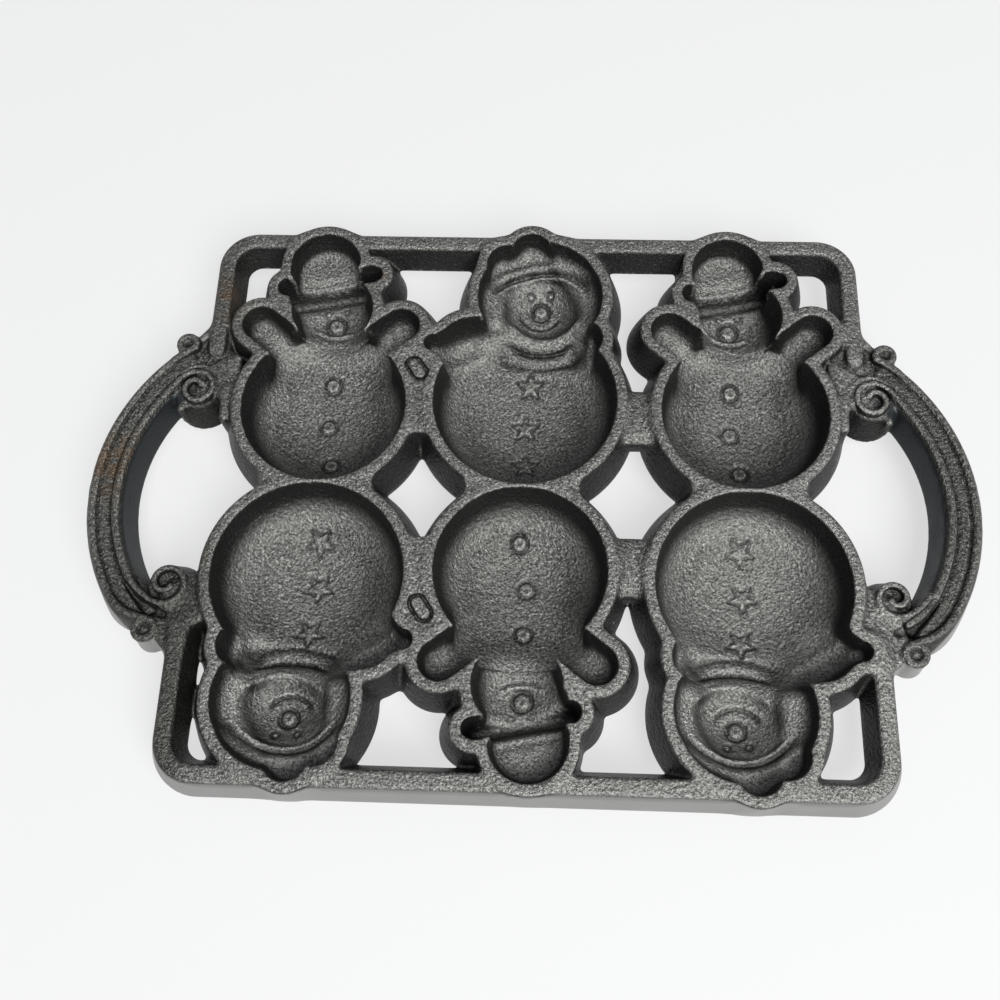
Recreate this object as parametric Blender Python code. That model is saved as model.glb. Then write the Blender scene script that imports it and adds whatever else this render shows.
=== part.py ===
# Cast iron snowman pan: six snowman cups in two rows inside a railed frame,
# with a moulded, scroll-ended handle on each side.
# Metres, +Z up. The cups stand on z = 0 and the origin is the centre of the plan.
# The real pan is poured in one piece. Each feature of the casting is a solid of its own
# here, and neighbours are a hair apart.
import math

import bmesh
import bpy
from mathutils import Matrix, Vector

MM = 0.001

# Heights
RIM_HEIGHT = 28.5 * MM            # rims of the cups above the table
FLOOR_WALL = 3.8 * MM             # iron under a cavity, before the feet are cut flat
WAIST_DROP = 15.5 * MM            # from the rims down to the widest line of the cup walls

# Cup walls
RIM_WIDTH = 4.2 * MM              # flat rim round a cavity
WALL_FLARE = 4.5 * MM             # how far a wall spreads from the rim to its widest line
END_FLARE = 1.5 * MM              # the same at the crowns and peaks, which run into the frame
KISS_WALL = 1.6 * MM              # iron between the two bodies of a column
GAP = 0.3 * MM                    # between neighbouring features
SQUARENESS = 2.6                  # 2 is an ellipse, more has steeper sides
CAVITY_LIFT = 1.0 * MM            # a cavity is widest this far above the rims

# Snowman with the bowler hat: distances from the middle of its body, head towards +Y
HAT_BODY_RADIUS = 31.7 * MM
HAT_BODY_DEPTH = 25.5 * MM
CHEST_HALF_WIDTH = 13.0 * MM
CHEST_RISE = 21.0 * MM
CHEST_RADIUS = 9.5 * MM
CHEST_DEPTH = 20.0 * MM
ARM_ROOT_X = 13.0 * MM
ARM_ROOT_Y = 23.0 * MM
ARM_TIP_X = HAT_BODY_RADIUS - 3.7 * MM
ARM_TIP_Y = 34.7 * MM
ARM_RADIUS = 7.3 * MM
ARM_ROOT_DEPTH = 16.0 * MM
ARM_TIP_DEPTH = 12.0 * MM
HAT_HEAD_RISE = 42.0 * MM
HAT_HEAD_RADIUS = 16.0 * MM
HAT_HEAD_DEPTH = 21.0 * MM
BRIM_LEFT_X = -18.8 * MM
BRIM_LEFT_Y = 51.6 * MM
BRIM_RIGHT_X = 14.9 * MM
BRIM_RIGHT_Y = 58.3 * MM
BRIM_RADIUS = 3.9 * MM
BRIM_DEPTH = 19.0 * MM
CROWN_SHIFT = -4.4 * MM
CROWN_FOOT_Y = 51.0 * MM
CROWN_TOP_Y = 62.4 * MM
CROWN_RADIUS = 14.0 * MM
CROWN_DEPTH = 18.0 * MM

# Snowman with the stocking cap, measured the same way
CAP_BODY_RADIUS = 35.3 * MM
CAP_BODY_DEPTH = 25.5 * MM
MITTEN_TIP_X = -CAP_BODY_RADIUS - 1.3 * MM
MITTEN_TIP_Y = 23.8 * MM
MITTEN_TIP_RADIUS = 3.6 * MM
MITTEN_X = -CAP_BODY_RADIUS + 13.3 * MM
MITTEN_Y = 22.5 * MM
MITTEN_RADIUS = 12.5 * MM
MITTEN_DEPTH = 17.0 * MM
MITTEN_TIP_DEPTH = 10.0 * MM
SLEEVE_X = -8.0 * MM
SLEEVE_Y = 25.0 * MM
SLEEVE_RADIUS = 12.0 * MM
SHOULDER_X = 21.5 * MM
SHOULDER_Y = 27.0 * MM
SHOULDER_RADIUS = 8.3 * MM
SHOULDER_DEPTH = 15.0 * MM
SCARF_HALF_LENGTH = 13.5 * MM
SCARF_Y = 26.5 * MM
SCARF_RADIUS = 5.5 * MM
SCARF_DEPTH = 22.0 * MM
CAP_HEAD_X = 5.0 * MM
CAP_HEAD_Y = 46.0 * MM
CAP_RADIUS = 24.7 * MM
CAP_DEPTH = 15.0 * MM
FACE_RADIUS = 17.5 * MM
FACE_DEPTH = 23.0 * MM
CAP_FOLD_X = -8.0 * MM
CAP_FOLD_Y = 60.5 * MM
CAP_FOLD_RADIUS = 8.5 * MM
CAP_PEAK_X = 1.3 * MM
CAP_PEAK_Y = 66.5 * MM
CAP_PEAK_RADIUS = 7.9 * MM
CAP_PEAK_DEPTH = 11.0 * MM

# Where the cups stand
ROW_LINE = 0.0 * MM               # where the bodies of the upper and lower rows meet
MIDDLE_COLUMN = -2.6 * MM
NEAR_SPACE = 10.9 * MM            # between the bodies of the left and middle columns
FAR_SPACE = 17.4 * MM             # between the bodies of the middle and right columns
NEAR_PITCH = HAT_BODY_RADIUS + NEAR_SPACE + CAP_BODY_RADIUS
FAR_PITCH = HAT_BODY_RADIUS + FAR_SPACE + CAP_BODY_RADIUS
HAT_ROW = HAT_BODY_RADIUS + KISS_WALL / 2
CAP_ROW = CAP_BODY_RADIUS + KISS_WALL / 2
LEFT_COLUMN = MIDDLE_COLUMN - NEAR_PITCH
RIGHT_COLUMN = MIDDLE_COLUMN + FAR_PITCH

# Frame rails, measured on their flat tops
RAIL_WIDTH = 6.0 * MM
SIDE_SPACE = 1.55 * MM            # from the rims of the outer cups to the side rails
CROWN_COVER = 0.2 * MM            # how far the top rail reaches past the crowns' cavities
PEAK_COVER = 1.4 * MM             # and the bottom rail past the caps' cavities
FRAME_HALF_WIDTH = (NEAR_PITCH + FAR_PITCH) / 2 + CAP_BODY_RADIUS + RIM_WIDTH + SIDE_SPACE + RAIL_WIDTH
FRAME_TOP = ROW_LINE + HAT_ROW + CROWN_TOP_Y + CROWN_RADIUS + CROWN_COVER
FRAME_BOTTOM = ROW_LINE - CAP_ROW - CAP_PEAK_Y - CAP_PEAK_RADIUS - PEAK_COVER
FRAME_CORNER = 15.0 * MM          # radius of the outer corner
RAIL_DROP = 0.8 * MM              # rail tops lie below the rims
RAIL_DEPTH = 13.3 * MM
RAIL_INNER_FLARE = 3.4 * MM
RAIL_OUTER_FLARE = 4.0 * MM
RAIL_EDGE = 1.0 * MM              # slope along both edges of the flat top

# Handles
HANDLE_INSET = 40.2 * MM          # from the side rails in to the centre of a handle's arc
HANDLE_CENTRE_X = FRAME_HALF_WIDTH - HANDLE_INSET
HANDLE_CENTRE_Y = -4.4 * MM
HANDLE_RADIUS = 72.0 * MM         # to the middle of the bar
HANDLE_WIDTH = 12.5 * MM
HANDLE_DROP = 0.5 * MM
HANDLE_DEPTH = 15.0 * MM
HANDLE_FLARE = 3.2 * MM
HANDLE_BEAD = 1.9 * MM            # half width of the bead along each edge
HANDLE_COVE = 2.8 * MM            # depth of the hollow between the beads
BEAD_ROUNDING = 0.3               # share of a bead that slopes off
COVE_FLAT = 0.9                   # share of the hollow that is flat
HANDLE_START = 130.0              # degrees round the handle's centre
HANDLE_END = 223.5

# Scroll blocks that carry the handles
SCROLL_OUT = 2.6 * MM             # from the side rails' outer edge out to a scroll's centre
SCROLL_X = FRAME_HALF_WIDTH + SCROLL_OUT
UPPER_SCROLL_Y = 38.9 * MM
LOWER_SCROLL_Y = -40.1 * MM
SCROLL_RADIUS = 7.8 * MM
CURL_OUT = 8.4 * MM
CURL_X = FRAME_HALF_WIDTH + CURL_OUT
UPPER_CURL_Y = 57.6 * MM
LOWER_CURL_Y = -58.2 * MM
CURL_RADIUS = 4.8 * MM
BLOCK_END_Y = 66.0 * MM           # where the side rails meet the blocks
BLOCK_REACH = 16.0 * MM           # from a scroll's centre in under the cup beside it
BLOCK_DEPTH = 14.0 * MM
SCROLL_FLARE = 1.6 * MM
EYE_RADIUS = 2.6 * MM             # pit in the middle of a scroll
EYE_DEPTH = 4.0 * MM

# Webs
WEB_DEPTH = 10.0 * MM
WEB_DROP = 0.6 * MM
ROW_WEB_HALF_LENGTH = 21.5 * MM
ROW_WEB_INNER = 8.0 * MM
ROW_WEB_HALF_HEIGHT = 9.0 * MM
SEAM_WEB_LOW_Y = -11.5 * MM       # ends of the web between two near cups
SEAM_WEB_HIGH_Y = 26.0 * MM
SEAM_WEB_HALF_WIDTH = 7.0 * MM
LUG_X = HAT_BODY_RADIUS + 3.7 * MM    # from the middle of the hatted snowman's body
LUG_Y = 15.8 * MM
LUG_LENGTH = 9.0 * MM
LUG_WIDTH = 5.0 * MM
LUG_TILT = 125.0                  # degrees
LUG_RISE = 0.6 * MM
SEAM_BEND_Y = 5.3 * MM            # the seam between two near cups bends here
SEAM_TOP_SHIFT = 2.0 * MM         # and ends this far east of the line between the bodies
SADDLE_DROP = 2.0 * MM
SADDLE_LOW_Y = -13.5 * MM
SADDLE_HIGH_Y = 9.0 * MM
SADDLE_DEPTH = 11.0 * MM

# Faceting
BODY_SEGMENTS = 24
LOBE_SEGMENTS = 12
BODY_RINGS = 8
LOBE_RINGS = 7
SCROLL_SEGMENTS = 20
HANDLE_STEPS = 20
CORNER_STEPS = 5
LUG_STEPS = 6
OVERSHOOT = 20.0 * MM             # how far a cutter runs past what it cuts
SHELL_TOP = 120.0 * MM            # above every shell, before its rim is cut flat
WELD_DISTANCE = 0.01 * MM

# Finish
CAP_SHADE = 0.100
HAT_SHADE = 0.090
HANDLE_SHADE = 0.090
BLOCK_SHADE = 0.085
RAIL_SHADE = 0.080
WEB_SHADE = 0.100
IRON_TINT = (1.0, 0.98, 0.95)
IRON_ROUGHNESS = 0.55
IRON_METALLIC = 0.6


def clear_scene():
    for old in list(bpy.data.objects):
        bpy.data.objects.remove(old, do_unlink=True)


def collection(name):
    made = bpy.data.collections.new(name)
    bpy.context.scene.collection.children.link(made)
    return made


def cast_iron(name, shade):
    made = bpy.data.materials.new(name + "_iron")
    made.use_nodes = True
    shader = made.node_tree.nodes["Principled BSDF"]
    shader.inputs["Base Color"].default_value = [shade * part for part in IRON_TINT] + [1.0]
    shader.inputs["Roughness"].default_value = IRON_ROUGHNESS
    shader.inputs["Metallic"].default_value = IRON_METALLIC
    return made


clear_scene()
PAN = collection("cast_iron_snowman_pan")
CUTTERS = collection("cutters")


def add_object(name, mesh, shade=None):
    made = bpy.data.objects.new(name, mesh)
    if shade is None:
        CUTTERS.objects.link(made)
        made.hide_render = True
        made.display_type = "WIRE"
    else:
        PAN.objects.link(made)
        mesh.materials.append(cast_iron(name, shade))
    return made


def cut(piece, cutter, solver="EXACT"):
    step = piece.modifiers.new("cut_" + cutter.name, "BOOLEAN")
    step.operation = "DIFFERENCE"
    step.solver = solver
    step.object = cutter


def join(piece, other, solver="EXACT"):
    step = piece.modifiers.new("join_" + other.name, "BOOLEAN")
    step.operation = "UNION"
    step.solver = solver
    step.object = other


# Cavities and shells are made of lobes. A lobe is a bowl round one circle, or drawn out
# between two. Each end of it is (x, y, radius, depth below the rims), and the flare is that
# of the shell outside it.
def lobe_object(name, start, end, flare, segments, rings, shell, growth):
    axis = Vector(end[:2]) - Vector(start[:2])
    turn = math.atan2(axis.y, axis.x)
    half_step = math.pi / segments
    bm = bmesh.new()
    bmesh.ops.create_uvsphere(bm, u_segments=segments, v_segments=rings, radius=1.0)
    for vert in bm.verts:
        level = math.asin(max(-1.0, min(1.0, vert.co.z)))
        around = math.atan2(vert.co.y, vert.co.x) + half_step
        x, y, radius, depth = end if math.cos(around) > 0 else start
        if shell:
            wide = radius + RIM_WIDTH + flare + growth
            narrow = wide - flare
            below = max(depth + FLOOR_WALL - WAIST_DROP, flare) + growth
            above = WAIST_DROP / (1.0 - (narrow / wide) ** SQUARENESS) ** (1.0 / SQUARENESS)
            middle = RIM_HEIGHT - WAIST_DROP
        else:
            wide = radius
            below = depth + CAVITY_LIFT
            above = depth
            middle = RIM_HEIGHT + CAVITY_LIFT
        out = wide * abs(math.cos(level)) ** (2.0 / SQUARENESS)
        rise = abs(math.sin(level)) ** (2.0 / SQUARENESS)
        height = middle - rise * below if level < 0 else middle + rise * above
        vert.co = Vector((x + out * math.cos(around + turn), y + out * math.sin(around + turn), height))
    mesh = bpy.data.meshes.new(name)
    bm.to_mesh(mesh)
    bm.free()
    return add_object(name, mesh)


def evaluated_mesh(piece):
    bpy.context.view_layer.update()
    graph = bpy.context.evaluated_depsgraph_get()
    return bpy.data.meshes.new_from_object(piece.evaluated_get(graph))


def lobes_mesh(name, lobes, shell, growth=0.0):
    """The union of all the lobes of a snowman.

    Curved shells that cross each other at a shallow angle are joined and cut with the
    manifold solver throughout, since the exact one leaves open edges along such crossings.
    """
    made = []
    for number, (start, end, flare) in enumerate(lobes):
        segments, rings = (BODY_SEGMENTS, BODY_RINGS) if number == 0 else (LOBE_SEGMENTS, LOBE_RINGS)
        made.append(lobe_object(name + "_lobe", start, end, flare, segments, rings, shell, growth))
    for other in made[1:]:
        join(made[0], other, "MANIFOLD")
    mesh = evaluated_mesh(made[0])
    for lobe in made:
        bpy.data.objects.remove(lobe)
    return mesh


def hat_lobes():
    arm_root = (ARM_ROOT_X, ARM_ROOT_Y, ARM_RADIUS, ARM_ROOT_DEPTH)
    arm_tip = (ARM_TIP_X, ARM_TIP_Y, ARM_RADIUS, ARM_TIP_DEPTH)
    body = (0.0, 0.0, HAT_BODY_RADIUS, HAT_BODY_DEPTH)
    head = (0.0, HAT_HEAD_RISE, HAT_HEAD_RADIUS, HAT_HEAD_DEPTH)
    return [
        (body, body, WALL_FLARE),
        ((-CHEST_HALF_WIDTH, CHEST_RISE, CHEST_RADIUS, CHEST_DEPTH),
         (CHEST_HALF_WIDTH, CHEST_RISE, CHEST_RADIUS, CHEST_DEPTH), WALL_FLARE),
        (arm_root, arm_tip, WALL_FLARE),
        ((-arm_root[0],) + arm_root[1:], (-arm_tip[0],) + arm_tip[1:], WALL_FLARE),
        (head, head, WALL_FLARE),
        ((BRIM_LEFT_X, BRIM_LEFT_Y, BRIM_RADIUS, BRIM_DEPTH),
         (BRIM_RIGHT_X, BRIM_RIGHT_Y, BRIM_RADIUS, BRIM_DEPTH), WALL_FLARE),
        ((CROWN_SHIFT, CROWN_FOOT_Y, CROWN_RADIUS, CROWN_DEPTH),
         (CROWN_SHIFT, CROWN_TOP_Y, CROWN_RADIUS, CROWN_DEPTH), END_FLARE),
    ]


def cap_lobes():
    body = (0.0, 0.0, CAP_BODY_RADIUS, CAP_BODY_DEPTH)
    mitten = (MITTEN_X, MITTEN_Y, MITTEN_RADIUS, MITTEN_DEPTH)
    shoulder = (SHOULDER_X, SHOULDER_Y, SHOULDER_RADIUS, SHOULDER_DEPTH)
    cap = (CAP_HEAD_X, CAP_HEAD_Y, CAP_RADIUS, CAP_DEPTH)
    face = (CAP_HEAD_X, CAP_HEAD_Y, FACE_RADIUS, FACE_DEPTH)
    fold = (CAP_FOLD_X, CAP_FOLD_Y, CAP_FOLD_RADIUS, CAP_PEAK_DEPTH)
    return [
        (body, body, WALL_FLARE),
        ((MITTEN_TIP_X, MITTEN_TIP_Y, MITTEN_TIP_RADIUS, MITTEN_TIP_DEPTH), mitten, WALL_FLARE),
        (mitten, (SLEEVE_X, SLEEVE_Y, SLEEVE_RADIUS, MITTEN_DEPTH), WALL_FLARE),
        (shoulder, shoulder, WALL_FLARE),
        ((CAP_HEAD_X - SCARF_HALF_LENGTH, SCARF_Y, SCARF_RADIUS, SCARF_DEPTH),
         (CAP_HEAD_X + SCARF_HALF_LENGTH, SCARF_Y, SCARF_RADIUS, SCARF_DEPTH), WALL_FLARE),
        (cap, cap, WALL_FLARE),
        (face, face, WALL_FLARE),
        (fold, fold, END_FLARE),
        ((CAP_HEAD_X, CAP_HEAD_Y, CAP_PEAK_RADIUS, CAP_DEPTH),
         (CAP_PEAK_X, CAP_PEAK_Y, CAP_PEAK_RADIUS, CAP_PEAK_DEPTH), END_FLARE),
    ]


def prism(name, outline, low, high, shade=None):
    """A flat outline, drawn up from low to high."""
    curve = bpy.data.curves.new(name, "CURVE")
    curve.dimensions = "2D"
    curve.fill_mode = "BOTH"
    curve.extrude = (high - low) / 2
    spline = curve.splines.new("POLY")
    spline.points.add(len(outline) - 1)
    for point, (x, y) in zip(spline.points, outline):
        point.co = (x, y, 0.0, 1.0)
    spline.use_cyclic_u = True
    holder = bpy.data.objects.new(name + "_curve", curve)
    PAN.objects.link(holder)
    mesh = evaluated_mesh(holder)
    bpy.data.objects.remove(holder)
    weld(mesh)
    made = add_object(name, mesh, shade)
    made.location.z = (low + high) / 2
    return made


def weld(mesh):
    bm = bmesh.new()
    bm.from_mesh(mesh)
    bmesh.ops.remove_doubles(bm, verts=bm.verts, dist=WELD_DISTANCE)
    bmesh.ops.recalc_face_normals(bm, faces=bm.faces)
    bm.to_mesh(mesh)
    bm.free()


def box(name, corner, opposite, shade=None):
    (x0, y0, z0), (x1, y1, z1) = corner, opposite
    return prism(name, [(x0, y0), (x1, y0), (x1, y1), (x0, y1)], z0, z1, shade)


def sweep(name, path, section, shade):
    """A closed section (across, up) drawn along a path on the rims' level."""
    profile = bpy.data.curves.new(name + "_section", "CURVE")
    profile.dimensions = "2D"
    spline = profile.splines.new("POLY")
    spline.points.add(len(section) - 1)
    for point, (across, up) in zip(spline.points, section):
        point.co = (across, up, 0.0, 1.0)
    spline.use_cyclic_u = True
    outline = bpy.data.objects.new(name + "_section", profile)
    CUTTERS.objects.link(outline)
    curve = bpy.data.curves.new(name + "_path", "CURVE")
    curve.dimensions = "2D"
    curve.fill_mode = "NONE"
    curve.bevel_mode = "OBJECT"
    curve.bevel_object = outline
    curve.use_fill_caps = True
    run = curve.splines.new("POLY")
    run.points.add(len(path) - 1)
    for point, (x, y) in zip(run.points, path):
        point.co = (x, y, 0.0, 1.0)
    holder = bpy.data.objects.new(name + "_path", curve)
    PAN.objects.link(holder)
    mesh = evaluated_mesh(holder)
    bpy.data.objects.remove(holder)
    bpy.data.objects.remove(outline)
    weld(mesh)
    made = add_object(name, mesh, shade)
    made.location.z = RIM_HEIGHT
    return made


def arc(centre, radius, first, last, steps):
    """Points round a circle; first and last are in degrees."""
    points = []
    for step in range(steps + 1):
        angle = math.radians(first + (last - first) * step / steps)
        points.append((centre[0] + radius * math.cos(angle), centre[1] + radius * math.sin(angle)))
    return points


# Places of the cups: name, kind, middle of the body, turned half round or not
CUPS = {
    "cup_hat_upper_left": ("hat", LEFT_COLUMN, ROW_LINE + HAT_ROW, False),
    "cup_cap_upper_middle": ("cap", MIDDLE_COLUMN, ROW_LINE + CAP_ROW, False),
    "cup_hat_upper_right": ("hat", RIGHT_COLUMN, ROW_LINE + HAT_ROW, False),
    "cup_cap_lower_left": ("cap", LEFT_COLUMN, ROW_LINE - CAP_ROW, True),
    "cup_hat_lower_middle": ("hat", MIDDLE_COLUMN, ROW_LINE - HAT_ROW, True),
    "cup_cap_lower_right": ("cap", RIGHT_COLUMN, ROW_LINE - CAP_ROW, True),
}
SEAMED = ("cup_hat_upper_left", "cup_cap_upper_middle", "cup_cap_lower_left", "cup_hat_lower_middle")


def set_down(piece, cup_name):
    kind, x, y, turned = CUPS[cup_name]
    piece.location.x = x
    piece.location.y = y
    piece.rotation_euler.z = math.pi if turned else 0.0


def seam_line():
    """The line between a hatted cup and the capped cup on its right, in the hatted cup's axes."""
    shift = Vector((NEAR_PITCH, CAP_ROW - HAT_ROW))
    arm = Vector((ARM_TIP_X, ARM_TIP_Y))
    mitten = shift + Vector((MITTEN_TIP_X, MITTEN_TIP_Y))
    across = (mitten - arm).normalized()
    wall = (mitten - arm).length - ARM_RADIUS - MITTEN_TIP_RADIUS
    middle = arm + across * (ARM_RADIUS + wall / 2)
    along = Vector((-across.y, across.x)) * (ARM_RADIUS + RIM_WIDTH / 2)
    between_bodies = (HAT_BODY_RADIUS + shift.x - CAP_BODY_RADIUS) / 2
    return [
        (between_bodies, -HAT_ROW - OVERSHOOT),
        (between_bodies, SEAM_BEND_Y),
        tuple(middle - along),
        tuple(middle + along),
        (between_bodies + SEAM_TOP_SHIFT, CROWN_TOP_Y + CROWN_RADIUS + OVERSHOOT),
    ]


def seam_cutter(name, for_hat):
    """Everything past the seam, seen from the hatted cup or from the capped one."""
    sign = 1 if for_hat else -1
    line = [(x + sign * GAP / 2 * -1, y) for x, y in seam_line()]
    far = line[0][0] + sign * (NEAR_PITCH + OVERSHOOT)
    outline = line + [(far, line[-1][1]), (far, line[0][1])]
    if not for_hat:
        shift = (NEAR_PITCH, CAP_ROW - HAT_ROW)
        outline = [(x - shift[0], y - shift[1]) for x, y in outline]
    return prism(name, outline, -OVERSHOOT, RIM_HEIGHT + OVERSHOOT)


def make_cup(name, kind):
    lobes = hat_lobes() if kind == "hat" else cap_lobes()
    row = HAT_ROW if kind == "hat" else CAP_ROW
    reach = 2 * NEAR_PITCH
    shade = HAT_SHADE if kind == "hat" else CAP_SHADE
    cup = add_object(name, lobes_mesh(name, lobes, True), shade)
    cavity = add_object(name + "_cavity", lobes_mesh(name + "_cavity", lobes, False))
    above = box(name + "_above", (-reach, -reach, RIM_HEIGHT), (reach, reach, SHELL_TOP))
    below = box(name + "_below", (-reach, -reach, -OVERSHOOT), (reach, reach, 0.0))
    beyond = box(name + "_beyond", (-reach, -reach, -OVERSHOOT),
                 (reach, -row + GAP / 2, SHELL_TOP + OVERSHOOT))
    cutters = [above, below, beyond, cavity]
    if name in SEAMED:
        cutters.append(seam_cutter(name + "_seam", kind == "hat"))
    for cutter in cutters:
        set_down(cutter, name)
        cut(cup, cutter, "MANIFOLD")
    set_down(cup, name)
    return cup


def clearance_of(name):
    """The solid that a cup's neighbours keep out of."""
    kind = CUPS[name][0]
    lobes = hat_lobes() if kind == "hat" else cap_lobes()
    cutter = add_object(name + "_clearance", lobes_mesh(name + "_clearance", lobes, True, GAP))
    set_down(cutter, name)
    return cutter


def rail_section():
    half = RAIL_WIDTH / 2
    return [
        (-half, -RAIL_DROP - RAIL_EDGE),
        (-half + RAIL_EDGE, -RAIL_DROP),
        (half - RAIL_EDGE, -RAIL_DROP),
        (half, -RAIL_DROP - RAIL_EDGE),
        (half + RAIL_OUTER_FLARE, -RAIL_DEPTH),
        (-half - RAIL_INNER_FLARE, -RAIL_DEPTH),
    ]


def make_rail(name, path, cups):
    rail = sweep(name, path, rail_section(), RAIL_SHADE)
    for cup_name in cups:
        cut(rail, CLEARANCE[cup_name], "MANIFOLD")
    return rail


def make_rails():
    side = FRAME_HALF_WIDTH - RAIL_WIDTH / 2
    top = FRAME_TOP - RAIL_WIDTH / 2
    bottom = FRAME_BOTTOM + RAIL_WIDTH / 2
    turn = FRAME_CORNER - RAIL_WIDTH / 2
    upper = [LEFT_COLUMN + CROWN_SHIFT, MIDDLE_COLUMN + CAP_PEAK_X, RIGHT_COLUMN + CROWN_SHIFT]
    lower = [LEFT_COLUMN - CAP_PEAK_X, MIDDLE_COLUMN - CROWN_SHIFT, RIGHT_COLUMN - CAP_PEAK_X]
    end = BLOCK_END_Y + GAP / 2
    upper_names = ["cup_hat_upper_left", "cup_cap_upper_middle", "cup_hat_upper_right"]
    lower_names = ["cup_cap_lower_left", "cup_hat_lower_middle", "cup_cap_lower_right"]
    upper_left = arc((-side + turn, top - turn), turn, 90, 180, CORNER_STEPS)
    upper_right = arc((side - turn, top - turn), turn, 0, 90, CORNER_STEPS)
    lower_left = arc((-side + turn, bottom + turn), turn, 180, 270, CORNER_STEPS)
    lower_right = arc((side - turn, bottom + turn), turn, 270, 360, CORNER_STEPS)
    rails = {
        "rail_corner_upper_left": ([(upper[0], top)] + upper_left + [(-side, end)], upper_names[:1]),
        "rail_upper_left": ([(upper[1], top), (upper[0], top)], upper_names[:2]),
        "rail_upper_right": ([(upper[2], top), (upper[1], top)], upper_names[1:]),
        "rail_corner_upper_right": ([(side, end)] + upper_right + [(upper[2], top)], upper_names[2:]),
        "rail_corner_lower_left": ([(-side, -end)] + lower_left + [(lower[0], bottom)], lower_names[:1]),
        "rail_lower_left": ([(lower[0], bottom), (lower[1], bottom)], lower_names[:2]),
        "rail_lower_right": ([(lower[1], bottom), (lower[2], bottom)], lower_names[1:]),
        "rail_corner_lower_right": ([(lower[2], bottom)] + lower_right + [(side, -end)], lower_names[2:]),
    }
    for name, (path, cups) in rails.items():
        make_rail(name, path, cups)


def handle_section():
    """Two beads along the edges with a cove between them; the sides flare down to the base."""
    half = HANDLE_WIDTH / 2
    bead = HANDLE_BEAD
    slope = BEAD_ROUNDING * bead
    cove = HANDLE_DROP + HANDLE_COVE
    inner = half - 2 * bead
    right = [
        (0.0, -cove),
        (COVE_FLAT * inner, slope - cove),
        (inner + slope, -HANDLE_DROP - slope),
        (half - bead, -HANDLE_DROP),
        (half - slope, -HANDLE_DROP - slope),
        (half, -HANDLE_DROP - bead),
        (half + HANDLE_FLARE, -HANDLE_DEPTH),
    ]
    return right + [(-across, up) for across, up in reversed(right[1:])]


def handle_space_section():
    half = HANDLE_WIDTH / 2 + GAP
    foot = half + HANDLE_FLARE
    return [(-half, OVERSHOOT), (-half, -HANDLE_DROP), (-foot, -HANDLE_DEPTH - GAP),
            (foot, -HANDLE_DEPTH - GAP), (half, -HANDLE_DROP), (half, OVERSHOOT)]


def handle_path(side, growth):
    """The left handle's arc, or the right one's, run the other way round."""
    spread = math.degrees(growth / HANDLE_RADIUS)
    first, last = HANDLE_START - spread, HANDLE_END + spread
    if side > 0:
        first, last = 180.0 - HANDLE_END - spread, 180.0 - HANDLE_START + spread
    return arc((side * HANDLE_CENTRE_X, HANDLE_CENTRE_Y), HANDLE_RADIUS, first, last, HANDLE_STEPS)


def disc(name, x, y, radius, growth=0.0):
    """A round boss with flared walls, as deep as the handles."""
    top = RIM_HEIGHT - HANDLE_DROP + growth
    low = RIM_HEIGHT - HANDLE_DEPTH - growth
    bm = bmesh.new()
    bmesh.ops.create_cone(
        bm, cap_ends=True, segments=SCROLL_SEGMENTS, radius1=radius + SCROLL_FLARE + growth,
        radius2=radius + growth, depth=top - low)
    mesh = bpy.data.meshes.new(name)
    bm.to_mesh(mesh)
    bm.free()
    made = add_object(name, mesh)
    made.location = (x, y, (top + low) / 2)
    return made


def make_handle(name, side):
    handle = sweep(name, handle_path(side, 0.0), handle_section(), HANDLE_SHADE)
    for scroll_y, curl_y in ((UPPER_SCROLL_Y, UPPER_CURL_Y), (LOWER_SCROLL_Y, LOWER_CURL_Y)):
        cut(handle, disc(name + "_scroll_space", side * SCROLL_X, scroll_y, SCROLL_RADIUS, GAP))
        cut(handle, disc(name + "_curl_space", side * CURL_X, curl_y, CURL_RADIUS, GAP))
    return handle


def make_scroll_block(name, side, up, cup_name):
    """The casting that ties a handle to the frame and to the cup beside it."""
    scroll_y, curl_y = (UPPER_SCROLL_Y, UPPER_CURL_Y) if up > 0 else (LOWER_SCROLL_Y, LOWER_CURL_Y)
    end_y = up * (BLOCK_END_Y - GAP / 2)
    rail_inner = FRAME_HALF_WIDTH - RAIL_WIDTH
    reach_x = SCROLL_X - BLOCK_REACH
    half_side = [
        (CURL_X, curl_y), (FRAME_HALF_WIDTH, end_y), (rail_inner, end_y),
        (reach_x, curl_y), (reach_x, scroll_y - up * SCROLL_RADIUS), (SCROLL_X, scroll_y),
    ]
    outline = [(side * x, y) for x, y in half_side]
    top = RIM_HEIGHT - RAIL_DROP
    block = prism(name, outline, RIM_HEIGHT - BLOCK_DEPTH, top, BLOCK_SHADE)
    space = sweep(name + "_handle_space", handle_path(side, GAP), handle_space_section(), None)
    cut(block, space, "MANIFOLD")
    cut(block, CLEARANCE[cup_name], "MANIFOLD")
    scroll = disc(name + "_scroll", side * SCROLL_X, scroll_y, SCROLL_RADIUS)
    curl = disc(name + "_curl", side * CURL_X, curl_y, CURL_RADIUS)
    cut(scroll, CLEARANCE[cup_name], "MANIFOLD")
    join(block, scroll, "MANIFOLD")
    join(block, curl, "MANIFOLD")
    eye = box(name + "_eye", (-EYE_RADIUS, -EYE_RADIUS, RIM_HEIGHT - EYE_DEPTH),
              (EYE_RADIUS, EYE_RADIUS, RIM_HEIGHT + OVERSHOOT))
    eye.location.x = side * SCROLL_X
    eye.location.y = scroll_y
    cut(block, eye, "MANIFOLD")
    return block


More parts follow.
